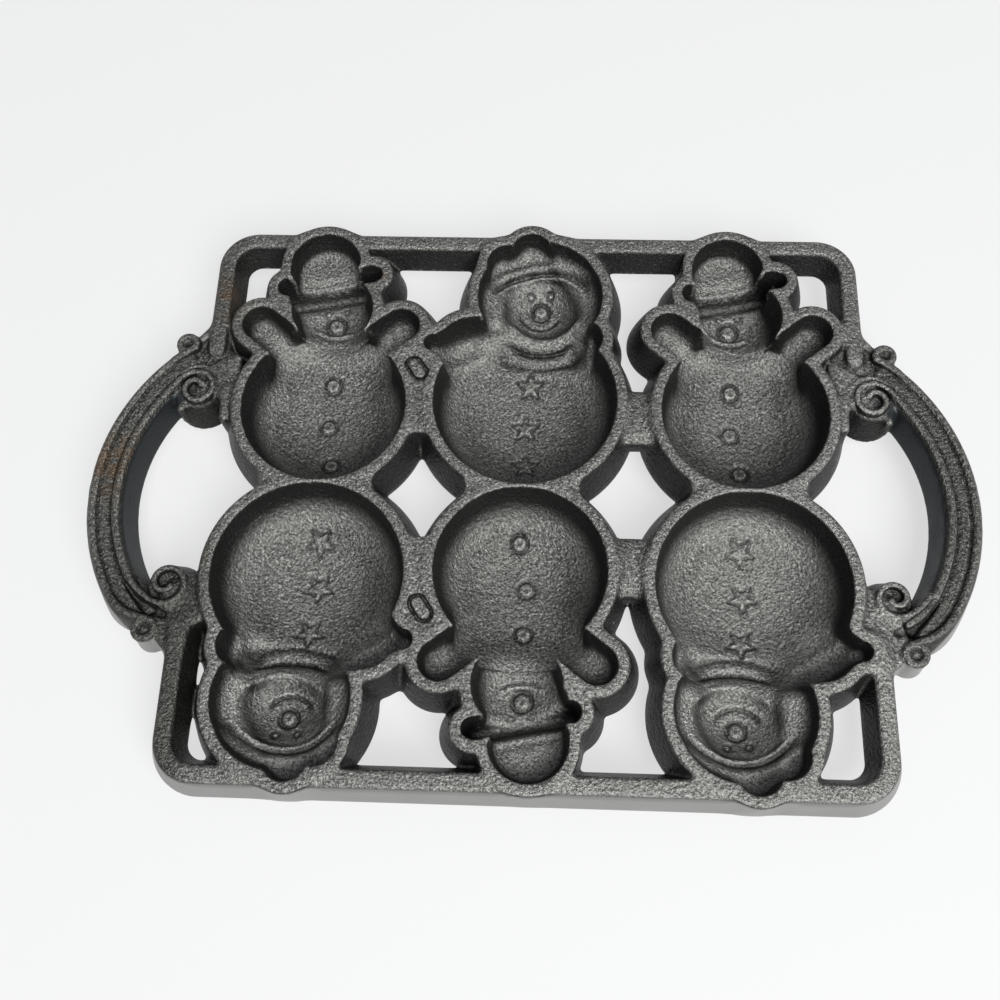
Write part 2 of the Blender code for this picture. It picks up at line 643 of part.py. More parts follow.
def make_seam_web(name, hat_name, cap_name):
    """The flat web between two near cups, with its oval lug."""
    middle = (HAT_BODY_RADIUS + NEAR_PITCH - CAP_BODY_RADIUS) / 2
    low = RIM_HEIGHT - WEB_DEPTH
    web = box(name, (middle - SEAM_WEB_HALF_WIDTH, SEAM_WEB_LOW_Y, low),
              (middle + SEAM_WEB_HALF_WIDTH, SEAM_WEB_HIGH_Y, RIM_HEIGHT - WEB_DROP), WEB_SHADE)
    set_down(web, hat_name)
    tilt = math.radians(LUG_TILT)
    ends = []
    for sign in (-1, 1):
        reach = sign * (LUG_LENGTH - LUG_WIDTH) / 2
        centre = (LUG_X + reach * math.cos(tilt), LUG_Y + reach * math.sin(tilt))
        ends += arc(centre, LUG_WIDTH / 2, LUG_TILT + 90 * sign - 90, LUG_TILT + 90 * sign + 90, LUG_STEPS)
    lug = prism(name + "_lug", ends, low + GAP, RIM_HEIGHT - WEB_DROP + LUG_RISE)
    set_down(lug, hat_name)
    for cup_name in (hat_name, cap_name):
        cut(web, CLEARANCE[cup_name], "MANIFOLD")
        cut(lug, CLEARANCE[cup_name], "MANIFOLD")
    join(web, lug)
    return web


def make_saddle(name, hat_name, cap_name):
    """The low bridge between two cups that stand further apart."""
    outer = -(FAR_PITCH - CAP_BODY_RADIUS)
    saddle = box(name, (outer, SADDLE_LOW_Y, RIM_HEIGHT - SADDLE_DEPTH),
                 (-HAT_BODY_RADIUS, SADDLE_HIGH_Y, RIM_HEIGHT - SADDLE_DROP), WEB_SHADE)
    set_down(saddle, hat_name)
    for cup_name in (hat_name, cap_name):
        cut(saddle, CLEARANCE[cup_name], "MANIFOLD")
    return saddle


def make_row_webs():
    """Small webs on both sides of where the bodies of a column meet."""
    columns = {
        "left": (LEFT_COLUMN, "cup_hat_upper_left", "cup_cap_lower_left"),
        "middle": (MIDDLE_COLUMN, "cup_cap_upper_middle", "cup_hat_lower_middle"),
        "right": (RIGHT_COLUMN, "cup_hat_upper_right", "cup_cap_lower_right"),
    }
    for column, (x, upper_name, lower_name) in columns.items():
        for side_name, side in (("west", -1), ("east", 1)):
            near, far = sorted((x + side * ROW_WEB_INNER, x + side * ROW_WEB_HALF_LENGTH))
            web = box("row_web_" + column + "_" + side_name,
                      (near, ROW_LINE - ROW_WEB_HALF_HEIGHT, RIM_HEIGHT - WEB_DEPTH),
                      (far, ROW_LINE + ROW_WEB_HALF_HEIGHT, RIM_HEIGHT - WEB_DROP), WEB_SHADE)
            for cup_name in (upper_name, lower_name):
                cut(web, CLEARANCE[cup_name], "MANIFOLD")


for cup_name, (cup_kind, _, _, _) in CUPS.items():
    make_cup(cup_name, cup_kind)
CLEARANCE = {cup_name: clearance_of(cup_name) for cup_name in CUPS}
make_rails()
make_handle("handle_left", -1)
make_handle("handle_right", 1)
make_scroll_block("scroll_block_upper_left", -1, 1, "cup_hat_upper_left")
make_scroll_block("scroll_block_upper_right", 1, 1, "cup_hat_upper_right")
make_scroll_block("scroll_block_lower_left", -1, -1, "cup_cap_lower_left")
make_scroll_block("scroll_block_lower_right", 1, -1, "cup_cap_lower_right")
make_seam_web("web_upper", "cup_hat_upper_left", "cup_cap_upper_middle")
make_seam_web("web_lower", "cup_hat_lower_middle", "cup_cap_lower_left")
make_saddle("saddle_upper", "cup_hat_upper_right", "cup_cap_upper_middle")
make_saddle("saddle_lower", "cup_hat_lower_middle", "cup_cap_lower_right")
make_row_webs()
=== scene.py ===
# Cast iron snowman pan: one rough, hand-poured casting on a pale table.
# The casting is worked out as a signed distance on a grid of points, in millimetres from the
# origin of the part, and its surface is then turned into one mesh in metres.
import math

import bpy
import numpy as np
import openvdb
from mathutils import Matrix, Vector


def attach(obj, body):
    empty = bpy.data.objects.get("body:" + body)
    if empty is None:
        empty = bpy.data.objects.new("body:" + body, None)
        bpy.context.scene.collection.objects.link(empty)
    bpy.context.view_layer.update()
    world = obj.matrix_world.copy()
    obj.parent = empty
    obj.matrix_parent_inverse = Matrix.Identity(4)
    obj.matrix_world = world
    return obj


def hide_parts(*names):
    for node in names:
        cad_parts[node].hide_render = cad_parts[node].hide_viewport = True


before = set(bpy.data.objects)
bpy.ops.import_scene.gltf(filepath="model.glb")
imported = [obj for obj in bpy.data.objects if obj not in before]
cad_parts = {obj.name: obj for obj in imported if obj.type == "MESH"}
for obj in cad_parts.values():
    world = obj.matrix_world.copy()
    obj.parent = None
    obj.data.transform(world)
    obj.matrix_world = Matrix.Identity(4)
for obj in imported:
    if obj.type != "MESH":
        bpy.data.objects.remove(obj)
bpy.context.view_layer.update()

MM = 0.001                        # the grid's unit, in metres
SLOPE_END = 1.1                   # flared sides slope as far as this share of their height

# Grid
STEP = 0.6                        # between points
LOW = (-171.0, -121.8, -3.0)
HIGH = (171.0, 121.8, 31.2)
BAND = 2.4                        # distances are kept this far to each side of the surface
EMPTY = 99.0                      # the distance where nothing stands
ADAPTIVITY = 0.006                # how freely flat stretches are thinned out

# Heights
RIM = 28.5                        # rims of the cups above the table
RIM_CLEARANCE = 0.02              # the casting stays this far below them
WAIST = 13.0                      # the walls of the cups are widest here

# Front and back, where crowns and peaks are cut off flat
WIDEST_Y = 115.75
WIDEST_ROUNDING = 0.6

# Fillets
CUP_FILLET = 2.6                  # between the outer walls of neighbouring cups
SHELL_FILLET = 1.6                # between the lobes of one outer wall
CAVITY_FILLET = 0.9               # between the lobes of a cavity
DEEP_FILLET = 8.0                 # added to that towards the floor, where wide lobes meet
SIDE_FILLET = 3.0                 # and where narrow ones do
DEEP_START = 3.0                  # the added part starts this far below the rims
DEEP_RUN = 12.0                   # and is whole after this much more
FLOOR_FILLET = 3.5                # round the flat floors of crowns and caps
JOIN_FILLET = 2.2                 # of webs, saddles and rails to the rest
BLOCK_FILLET = 1.4
HANDLE_FILLET = 0.9
RIM_ROUNDING = 1.3
FOOT_ROUNDING = 1.2
BAR_ROUNDING = 1.4

# Cups
SQUARENESS = 2.6                  # 2 is an ellipse, more has steeper sides
AXIS_SHARE = 0.01                 # keeps a bowl's slope above zero on its axis
RIM_WIDTH = 4.2
WALL_FLARE = 4.5                  # how far a wall spreads from the rim to its widest line
END_FLARE = 1.5                   # the same at crowns and peaks, which run into the frame
WALL_CURVE = 1.2                  # power of the height by which a wall spreads
WALL_END = 1.2                    # share of the wall's height where it stops leaning in
FLOOR_WALL = 3.8                  # iron under a cavity
CAVITY_LIFT = 1.0                 # a cavity is widest this far above the rims
CROWN_FLOOR = 13.0                # depth of the flat floor in a crown
CAP_FLOOR = 11.0                  # and in a cap, round the face
LOBE_MARGIN = 1.0                 # room round a lobe, beyond the band
HAT_ROW = 32.5                    # from the line between the rows to the middle of a hatted body
CAP_ROW = 36.1                    # and of a capped one
COLUMNS = (-80.5, -2.6, 81.8)
CUP_HALF_WIDTH = 54.0             # of the box round a cup
CUP_FOOT_REACH = 50.0             # from the middle of the body to the end of that box
CUP_HEAD_REACH = 92.0

# Frame rails
FRAME_HALF_WIDTH = 128.2
FRAME_TOP = 109.1
FRAME_BOTTOM = -111.9
FRAME_CORNER = 15.0               # radius of the outer corner
RAIL_WIDTH = 6.0
RAIL_TOP = RIM - 0.8
RAIL_FOOT = RIM - 13.3
RAIL_INNER_FLARE = 3.4
RAIL_OUTER_FLARE = 4.0
RAIL_LIMITS = (-0.2, 1.2)         # the sides slope between these shares of the height
RAIL_END_Y = 52.0                 # the side rails end in the scroll blocks
RAIL_END_ROUNDING = 5.0

# Handles
SIDE_NEAR = 104.0                 # the box round a handle and its blocks
SIDE_FAR = HIGH[0]
HANDLE_YS = (-75.0, 70.0)
HANDLE_X = 88.0                   # centre of a handle's arc
HANDLE_Y = -4.4
HANDLE_RADIUS = 72.0
HANDLE_HALF_WIDTH = 6.25
HANDLE_TOP = RIM - 0.5
HANDLE_FOOT = RIM - 15.0
HANDLE_FLARE = 3.2
HANDLE_START = 128.0              # degrees round the centre
HANDLE_END = 224.5
HANDLE_END_ROUNDING = 4.0
HANDLE_TOP_ROUNDING = 0.8
HANDLE_TOP_SLOPE = 0.85           # evens out the distance to the top, which isn't level
LOWER_BEND = 214.0                # the outer bead bends in towards the small curl from here
LOWER_SHIFT = {-1: 5.0, 1: 3.0}   # and has moved in this far after another BEND_RUN degrees
BEND_RUN = 10.0
BEND_END = 1.3                    # runs after which it bends no further
UPPER_BEAD_END = 139.0            # the inner bead turns off into the scroll here
LOWER_BEAD_END = 211.0
BEAD_END_RUN = 3.0                # degrees in which it sinks away
BEAD_END_DROP = 3.0
BEAD_SIDE = -1.4                  # it lies inward of here
BEAD_SIDE_RUN = 1.2
# Across a handle from its inner edge to its outer one, and how far its top lies below the beads
HANDLE_ACROSS = (-6.3, -5.6, -4.4, -3.2, -2.6, -2.1, -1.5, -0.2, 1.0, 1.6, 2.1, 2.6, 3.2, 4.4, 5.6, 6.3)
HANDLE_DROP = (1.9, 0.5, 0.0, 0.5, 1.8, 2.8, 2.1, 1.7, 1.9, 1.5, 2.1, 2.2, 0.8, 0.1, 0.7, 2.0)

# Scroll blocks, all measured as if they were the upper right one
BLOCK_YS = (20.0, 78.0)           # of the box round a block
BLOCK_INNER_X = 114.8             # the block ends here, under the cup beside it
BLOCK_END_Y = 68.0                # the side rail leaves it here
BLOCK_TOP = RIM - 1.9
BLOCK_FOOT = RIM - 14.5
BLOCK_FLARE = 1.0
BLOCK_ROUNDING = 2.4
LEFT_SLOT_Y = 53.0                # the opening between cup and rail starts here on the left side
SLOT_INSET = 1.5                  # it narrows by this
SLOT_RUN = 4.0                    # in this length
SEAT_FLOOR = RIM - 4.0            # the block is cut away above this for the handle
SEAT_END = 217.5                  # degrees, where the lower seats end
SEAT_SLOPE = 1.25                 # millimetres along a handle in a degree
SEAT_EDGE_ROUNDING = 1.0
SEAT_END_ROUNDING = 1.5
SEAT_ROUNDING = 1.2
COLUMN_TOP = RIM - 3.6            # the round column under a scroll
COLUMN_FOOT = RIM - 17.0
COLUMN_FLARE = 3.8
COLUMN_ROUNDING = 1.0
COLUMN_FILLET = 2.0
KNOB_INSET = 0.8                  # the knob under a curl, inside the curl's radius
KNOB_TOP = RIM - 2.2
KNOB_FLARE = 2.0
KNOB_ROUNDING = 1.2
# (side, up) of a block: middle and radius of its scroll, and of its curl
SCROLLS = {
    (-1, 1): ((130.8, 38.9), 7.8, (136.6, 57.6), 4.8),
    (1, 1): ((130.8, 38.9), 7.8, (136.6, 57.6), 4.8),
    (-1, -1): ((131.4, 41.2), 7.4, (137.4, 58.4), 5.0),
    (1, -1): ((131.6, 40.4), 6.6, (137.2, 60.4), 5.0),
}
SCROLL_RADIUS = 7.8               # of the scroll that the spirals are measured on
# Degrees round the middle of a scroll, and how far out its spiral is there
UPPER_SPIRAL = (
    (-13, 11.5), (7, 8.3), (45, 6.9), (90, 6.5), (180, 6.2), (270, 5.9), (340, 4.9), (430, 3.0), (500, 2.0))
LOWER_SPIRAL = (
    (-7, 15.3), (10, 12.0), (30, 9.6), (60, 8.5), (90, 7.9), (180, 6.8), (270, 6.2), (340, 5.4),
    (430, 3.0), (500, 2.0))
SPIRAL_STEPS = 36
# Strands: half width, top, foot, and fillet to the block
SCROLL_STRAND = (1.15, RIM - 0.4, RIM - 8.0, 0.7)
LINE_STRAND = (0.8, RIM - 1.5, RIM - 6.0, 0.8)
CURL_STRAND = (1.45, RIM - 0.4, RIM - 9.0, 0.7)
RIB_STRAND = (1.7, RIM - 3.0, RIM - 14.0, 2.0)
LINK_STRAND = (2.1, RIM - 1.4, RIM - 13.0, 2.2)
STRAND_ROUNDING = 0.8
LINE_OUT = 1.5                    # from a scroll's radius out to the line round it
LINE_TURNS = (40, 150)            # degrees
CURL_STEPS = 14
CURL_END = -75                    # degrees round the curl
UPPER_CURL_START = 205
UPPER_CURL_INSET = 1.5            # from the curl's radius in to its strand
UPPER_LEAD_RADIUS = 76.3          # where the curl's strand starts, round the handle's centre
UPPER_LEAD_TURN = 46.0
LOWER_CURL_START = 258
LOWER_CURL_INSET = 1.4
LOWER_LEAD_OUT = 4.4              # from the middle of the handle's bar
LOWER_LEAD_TURNS = (34.0, 37.0, 40.0, 43.0)  # half a turn less than a handle's degrees
EYE_RADIUS = 1.5                  # of the ball at the end of a spiral
EYE_FILLET = 0.5
SCROLL_EYE_DROP = 2.2
CURL_EYE_DROP = 2.4
GROOVE = ((146.0, 44.6), (139.5, 49.6), (131.6, 52.8))  # between a lower scroll and its curl
GROOVE_RADIUS = 1.4
GROOVE_DROP = 2.4
GROOVE_ROUNDING = 1.2
RIB = ((7.4, -2.6), (6.0, -8.2))  # on the side of an upper column, from the scroll's middle
LINK = ((119.2, 27.0), (119.6, 38.0))  # between an upper scroll and the cup

# Webs
WEB_FOOT = RIM - 10.0
WEB_MARGIN = 4.0                  # room round a web or a saddle
WEB_CORNER = 3.0
WEB_FLARE = 0.5
WEB_ROUNDING = 1.2
SEAM_WEB_X = 37.15                # from the middle of the hatted body
SEAM_WEB_HALF_WIDTH = 7.0
SEAM_WEB_YS = (-11.5, 26.0)
SEAM_WEB_TOP = RIM - 0.7
ROW_WEB_XS = (8.0, 21.5)          # from the middle of the column
ROW_WEB_HALF_HEIGHT = 9.0
ROW_WEB_TOP = RIM - 0.6

# Saddles
SADDLE_X = -40.4                  # from the middle of the hatted body
SADDLE_YS = (-13.5, 9.0)
SADDLE_BOX = 14.0
SADDLE_HALF_WIDTH = 11.0
SADDLE_TOP = RIM - 1.6
SADDLE_FOOT = RIM - 11.0
SADDLE_LEAN = 0.035               # how fast its top falls away to the cups
SADDLE_SAG = 1.6                  # how far it falls to its ends
SADDLE_CURVE = 2.5
SADDLE_BULGE = 0.5
SADDLE_TOP_SLOPE = 0.9
SADDLE_TOP_ROUNDING = 3.0
SADDLE_FOOT_ROUNDING = 1.5

# Lugs, each an oval in a trench
LUG_PLACE = (35.4, 15.8)          # from the middle of the hatted body
LUG_TILT = 125.0                  # degrees
LUG_REACH = 2.3                   # half the straight part of the oval
LUG_RADIUS = 2.5
LUG_BOX = 8.0
LUG_TOP = RIM - 0.1
LUG_FOOT = RIM - 6.0
LUG_ROUNDING = 1.6
LUG_FILLET = 0.5
TRENCH_HALF_WIDTH = 0.9
TRENCH_FLOOR = RIM - 2.6
TRENCH_ROUNDING = 0.8


def axis_points(number):
    count = int(round((HIGH[number] - LOW[number]) / STEP)) + 1
    return (LOW[number] + STEP * np.arange(count)).astype(np.float32)


GRID = [axis_points(0), axis_points(1), axis_points(2)]


class Field:
    """A signed distance over a box of the grid: below zero is inside."""

    def __init__(self, low=LOW, high=HIGH):
        self.slices = []
        for number in range(3):
            first = max(0, int(math.floor((low[number] - LOW[number]) / STEP)))
            last = min(len(GRID[number]), int(math.ceil((high[number] - LOW[number]) / STEP)) + 1)
            self.slices.append(slice(first, last))
        self.x = GRID[0][self.slices[0]][:, None, None]
        self.y = GRID[1][self.slices[1]][None, :, None]
        self.z = GRID[2][self.slices[2]][None, None, :]
        shape = (self.x.shape[0], self.y.shape[1], self.z.shape[2])
        self.value = np.full(shape, EMPTY, np.float32)

    def window(self, other):
        """Where the other field lies in this one."""
        found = []
        for own, theirs in zip(self.slices, other.slices):
            found.append(slice(theirs.start - own.start, theirs.stop - own.start))
        return tuple(found)

    def add(self, other, fillet):
        place = self.window(other)
        self.value[place] = smooth_min(self.value[place], other.value, fillet)

    def carve(self, other, rounding):
        place = self.window(other)
        self.value[place] = smooth_max(self.value[place], -other.value, rounding)


def full_height(x0, x1, y0, y1):
    """A field over all heights of the grid."""
    return Field((x0, y0, LOW[2]), (x1, y1, HIGH[2]))


def smooth_min(first, second, reach):
    """The smaller of two, with a fillet where they are within reach of each other."""
    near = np.maximum(reach - np.abs(first - second), 0.0)
    return np.minimum(first, second) - near * near * (0.25 / reach)


def smooth_max(first, second, reach):
    """The larger of two, rounded off in the same way."""
    near = np.maximum(reach - np.abs(first - second), 0.0)
    return np.maximum(first, second) + near * near * (0.25 / reach)


def fade_in(value, run):
    """From 0 to 1 while the value goes from 0 to the run."""
    return np.clip(value / run, 0.0, 1.0)


def bowl(out, radius, drop, depth):
    """Distance to a bowl with this radius at its widest line and this depth below it."""
    across = np.maximum(out / radius, AXIS_SHARE)
    down = np.maximum(drop / depth, 0.0)
    across_power = across ** (SQUARENESS - 1.0)
    down_power = down ** (SQUARENESS - 1.0)
    level = (across_power * across + down_power * down) ** (1.0 / SQUARENESS)
    slope = level ** (1.0 - SQUARENESS) * np.sqrt((across_power / radius) ** 2 + (down_power / depth) ** 2)
    return (level - 1.0) / slope


def slab(plan, z, low, high, flare, rounding):
    """A flat outline, drawn down from high to low and flared towards the foot."""
    share = np.clip((high - z) / (high - low), 0.0, SLOPE_END)
    body = smooth_max(plan - flare * share, z - high, rounding)
    return smooth_max(body, low - z, rounding)


def along(x, y, start, end):
    """Distance from the line between two points, and how far along it, from 0 to 1."""
    run = (end[0] - start[0], end[1] - start[1])
    square = run[0] ** 2 + run[1] ** 2
    if square == 0.0:
        return np.hypot(x - start[0], y - start[1]), 0.0
    share = np.clip(((x - start[0]) * run[0] + (y - start[1]) * run[1]) / square, 0.0, 1.0)
    return np.hypot(x - start[0] - share * run[0], y - start[1] - share * run[1]), share


def path_distance(x, y, points):
    best = None
    for start, end in zip(points, points[1:]):
        away, _ = along(x, y, start, end)
        best = away if best is None else np.minimum(best, away)
    return best


def polygon_distance(x, y, points):
    """Signed distance in the plane to a polygon."""
    inside = False
    for (ax, ay), (bx, by) in zip(points, points[1:] + points[:1]):
        if ay != by:
            inside = inside ^ (((ay > y) != (by > y)) & (x < (bx - ax) * (y - ay) / (by - ay) + ax))
    away = path_distance(x, y, points + points[:1])
    return np.where(inside, -away, away)


def round_points(centre, radii, turns):
    """Points round a centre, each at its radius and its angle in degrees."""
    points = []
    for radius, turn in zip(radii, turns):
        angle = math.radians(turn)
        points.append((centre[0] + radius * math.cos(angle), centre[1] + radius * math.sin(angle)))
    return points


def arc_points(centre, radius, first, last, steps=8):
    return round_points(centre, [radius] * (steps + 1), np.linspace(first, last, steps + 1))


def spiral_points(centre, spiral, stretch):
    turns, radii = zip(*spiral)
    angles = np.linspace(turns[0], turns[-1], SPIRAL_STEPS)
    reaches = np.interp(angles, turns, [radius * stretch for radius in radii])
    return round_points(centre, reaches.tolist(), angles)


def lobe(start, end=None, flare=WALL_FLARE, floor=0.0, fillet=DEEP_FILLET):
    """One hollow of a snowman, round or drawn out between two ends (x, y, radius, depth).

    The flare is that of its outer wall, the floor the depth of its flat floor, if it has one,
    and the fillet how softly it meets the lobes before it, deep down.
    """
    return start, end or start, flare, floor, fillet


# Lobes of the two snowmen, from the middle of the body with the head towards +Y
HAT_LOBES = (
    lobe((0.0, 0.0, 31.7, 25.5)),  # body
    lobe((-13.0, 21.0, 9.5, 20.0), (13.0, 21.0, 9.5, 20.0)),  # chest
    lobe((13.0, 23.0, 7.3, 16.0), (28.0, 34.7, 7.3, 12.0)),  # arms
    lobe((-13.0, 23.0, 7.3, 16.0), (-28.0, 34.7, 7.3, 12.0)),
    lobe((0.0, 42.0, 16.0, 21.0)),  # head
    lobe((-18.8, 51.6, 3.9, 19.0), (14.9, 58.3, 3.9, 19.0), fillet=SIDE_FILLET),  # brim
    lobe((-4.4, 51.0, 14.0, 18.0), (-4.4, 62.4, 14.0, 18.0), END_FLARE, CROWN_FLOOR),  # crown
)
CAP_LOBES = (
    lobe((0.0, 0.0, 35.3, 25.5)),  # body
    lobe((-36.6, 23.8, 3.6, 10.0), (-22.0, 22.5, 12.5, 17.0), fillet=SIDE_FILLET),  # mitten
    lobe((-22.0, 22.5, 12.5, 17.0), (-8.0, 25.0, 12.0, 17.0)),  # sleeve
    lobe((21.5, 27.0, 8.3, 15.0)),  # shoulder
    lobe((-7.3, 27.2, 6.7, 22.0), (17.3, 27.2, 6.7, 22.0), fillet=SIDE_FILLET),  # scarf
    lobe((5.0, 46.0, 24.7, 15.5), floor=CAP_FLOOR),  # cap
    lobe((5.6, 45.2, 17.2, 21.5), fillet=SIDE_FILLET),  # face
    lobe((-8.0, 60.5, 8.5, 15.0), flare=END_FLARE, floor=CAP_FLOOR),  # fold
    lobe((5.0, 46.0, 7.9, 15.5), (1.3, 66.5, 7.9, 14.5), END_FLARE, CAP_FLOOR),  # peak
)
# Kind, middle of the body, and 1 or -1 for which way the head points
CUPS = (
    ("hat", COLUMNS[0], HAT_ROW, 1),
    ("cap", COLUMNS[1], CAP_ROW, 1),
    ("hat", COLUMNS[2], HAT_ROW, 1),
    ("cap", COLUMNS[0], -CAP_ROW, -1),
    ("hat", COLUMNS[1], -HAT_ROW, -1),
    ("cap", COLUMNS[2], -CAP_ROW, -1),
)
# The hatted cups beside a seam web with its lug, and beside a saddle
SEAM_CUPS = (CUPS[0], CUPS[4])
SADDLE_CUPS = (CUPS[2], CUPS[4])

# Reliefs in the cavities, measured as the lobes are. A mark's last two numbers are its width and
# its height, which is below zero for a groove. A ring has its radius before them, and an arc its
# middle and half its sweep in degrees after the radius.
ARC_FADE = 10.0                   # degrees in which the end of an arc fades out
HAT_BUTTONS = ((-1.5, 18.7), (-2.1, 0.9), (0.9, -16.9))
HAT_BUTTON_RINGS = ((3.3, 0.75, -1.0), (1.7, 0.8, 0.4))
HAT_NOSE = (-1.8, 45.0)
HAT_NOSE_RINGS = ((3.7, 0.85, -1.2), (1.4, 1.2, 0.8))
HAT_BROWS = (((-1.9, 54.5), 15.0, 269, 34, 0.8, 0.9), ((-1.9, 54.0), 17.6, 269, 28, 0.8, 0.4))
HAT_EYES = ((-5.4, 50.4), (2.2, 51.2))
HAT_EYE_RINGS = ((1.1, 0.6, -0.6),)
HAT_RIDGES = (
    (((-18.8, 51.6), (14.9, 58.3)), 1.9, -1.6),  # groove along the brim
    (((-17.0, 56.2), (-4.4, 58.2), (8.0, 61.2)), 1.9, 1.0),  # band of the hat
)
HAT_NUB = ((15.5, 60.0), 1.6, 1.5)  # at the end of the brim
CAP_STARS = (((1.7, 16.6), -1.05), ((0.1, -1.6), -1.05), ((0.5, -19.0), -0.7))
STAR_POINTS = 5
STAR_RADII = (5.6, 2.7)           # of the points and of the corners between
STAR_WIDTH = 0.65
CAP_NOSE = (5.3, 49.7)
CAP_NOSE_RINGS = ((3.4, 0.8, -1.2), (1.2, 1.1, 0.9))
CAP_SMILE = (((5.0, 51.0), 9.2, 268, 62, 0.7, -0.9), ((5.0, 51.0), 10.9, 268, 62, 0.8, 0.4))
CAP_EYES = ((1.3, 55.5), (9.1, 56.0))
CAP_EYE_RINGS = ((1.2, 0.6, -0.8),)
CAP_FOLDS = (
    ((5.5, 40.0), 21.4, 90, 58, 0.8, 0.55),  # turned-up band of the cap
    ((5.5, 40.0), 23.3, 90, 58, 0.8, -0.8),
    ((5.5, 40.0), 25.8, 90, 58, 1.6, 0.9),
    ((7.0, 52.0), 17.3, 270, 55, 1.5, 1.0),  # chin
    ((5.5, 58.0), 28.6, 270, 30, 0.8, -0.9),  # scarf
    ((5.5, 58.0), 31.4, 270, 30, 1.9, 1.1),
    ((5.5, 58.0), 34.6, 270, 30, 0.9, -0.6),
)
CAP_RIDGES = (
    (((-30.0, 19.5), (-18.0, 26.5)), 2.6, 1.2),  # mitten
    (((24.5, 22.0), (25.5, 36.0)), 1.4, 0.5),  # shoulder
)


def lobe_field(cup, start, end, flare, floor, outside):
    _, cx, cy, sign = cup
    ends = [(cx + sign * x, cy + sign * y, radius, depth) for x, y, radius, depth in (start, end)]
    margin = BAND + (RIM_WIDTH + flare if outside else 0.0)
    reach = [end[2] + margin + LOBE_MARGIN for end in ends]
    made = full_height(
        min(end[0] - room for end, room in zip(ends, reach)),
        max(end[0] + room for end, room in zip(ends, reach)),
        min(end[1] - room for end, room in zip(ends, reach)),
        max(end[1] + room for end, room in zip(ends, reach)))
    away, share = along(made.x, made.y, ends[0], ends[1])
    radius = ends[0][2] + (ends[1][2] - ends[0][2]) * share
    depth = ends[0][3] + (ends[1][3] - ends[0][3]) * share
    if outside:
        rise = np.clip((made.z - WAIST) / (RIM - WAIST), 0.0, WALL_END)
        wide = radius + RIM_WIDTH + flare * (1.0 - rise ** WALL_CURVE)
        below = np.maximum(depth + FLOOR_WALL - (RIM - WAIST), flare)
        made.value = bowl(away, wide, WAIST - made.z, below).astype(np.float32)
    else:
        hollow = bowl(away, radius, RIM + CAVITY_LIFT - made.z, depth + CAVITY_LIFT)
        if floor > 0.0:
            hollow = smooth_max(hollow, RIM - floor - made.z, FLOOR_FILLET)
        made.value = hollow.astype(np.float32)
    return made


def bump(away, width, height):
    """A rounded ridge, or a groove where the height is below zero."""
    return height * np.exp(-(away / width) ** 2)


def ring(x, y, centre, radius, width, height):
    return bump(np.hypot(x - centre[0], y - centre[1]) - radius, width, height)


def arc_ridge(x, y, centre, radius, middle, half, width, height):
    """A ridge along an arc this many degrees to each side of its middle, fading out at its ends."""
    turn = np.degrees(np.arctan2(y - centre[1], x - centre[0])) - middle
    turn = np.abs((turn + 180.0) % 360.0 - 180.0)
    return fade_in(half - turn, ARC_FADE) * ring(x, y, centre, radius, width, height)


def add_rings(rise, x, y, places, rings):
    for place in places:
        for size in rings:
            rise = rise + ring(x, y, place, *size)
    return rise


def add_arcs(rise, x, y, arcs):
    for arc in arcs:
        rise = rise + arc_ridge(x, y, *arc)
    return rise


def add_ridges(rise, x, y, ridges):
    for points, width, height in ridges:
        rise = rise + bump(path_distance(x, y, points), width, height)
    return rise


def hat_relief(x, y):
    """How far the iron stands out of the smooth cavity of a hatted snowman."""
    rise = add_rings(np.float32(0.0), x, y, HAT_BUTTONS, HAT_BUTTON_RINGS)
    rise = add_rings(rise, x, y, (HAT_NOSE,), HAT_NOSE_RINGS)
    rise = add_arcs(rise, x, y, HAT_BROWS)
    rise = add_rings(rise, x, y, HAT_EYES, HAT_EYE_RINGS)
    rise = add_ridges(rise, x, y, HAT_RIDGES)
    (nub_x, nub_y), width, height = HAT_NUB
    return rise + bump(np.hypot(x - nub_x, y - nub_y), width, height)


def cap_relief(x, y):
    """The same for a capped snowman."""
    rise = np.float32(0.0)
    turns = [90.0 + 180.0 / STAR_POINTS * number for number in range(2 * STAR_POINTS)]
    for middle, height in CAP_STARS:
        points = round_points(middle, STAR_RADII * STAR_POINTS, turns)
        rise = rise + bump(path_distance(x, y, points + points[:1]), STAR_WIDTH, height)
    rise = add_rings(rise, x, y, (CAP_NOSE,), CAP_NOSE_RINGS)
    rise = add_arcs(rise, x, y, CAP_SMILE)
    rise = add_rings(rise, x, y, CAP_EYES, CAP_EYE_RINGS)
    rise = add_arcs(rise, x, y, CAP_FOLDS)
    return add_ridges(rise, x, y, CAP_RIDGES)


def cup_field(cup, outside):
    kind, cx, cy, sign = cup
    lobes, relief = (HAT_LOBES, hat_relief) if kind == "hat" else (CAP_LOBES, cap_relief)
    ys = sorted((cy - sign * CUP_FOOT_REACH, cy + sign * CUP_HEAD_REACH))
    made = full_height(cx - CUP_HALF_WIDTH, cx + CUP_HALF_WIDTH, *ys)
    for start, end, flare, floor, fillet in lobes:
        part = lobe_field(cup, start, end, flare, floor, outside)
        if outside:
            made.add(part, SHELL_FILLET)
        else:
            made.add(part, CAVITY_FILLET + fade_in(RIM - DEEP_START - part.z, DEEP_RUN) * fillet)
    if not outside:
        made.value += relief(sign * (made.x - cx), sign * (made.y - cy))
    return made


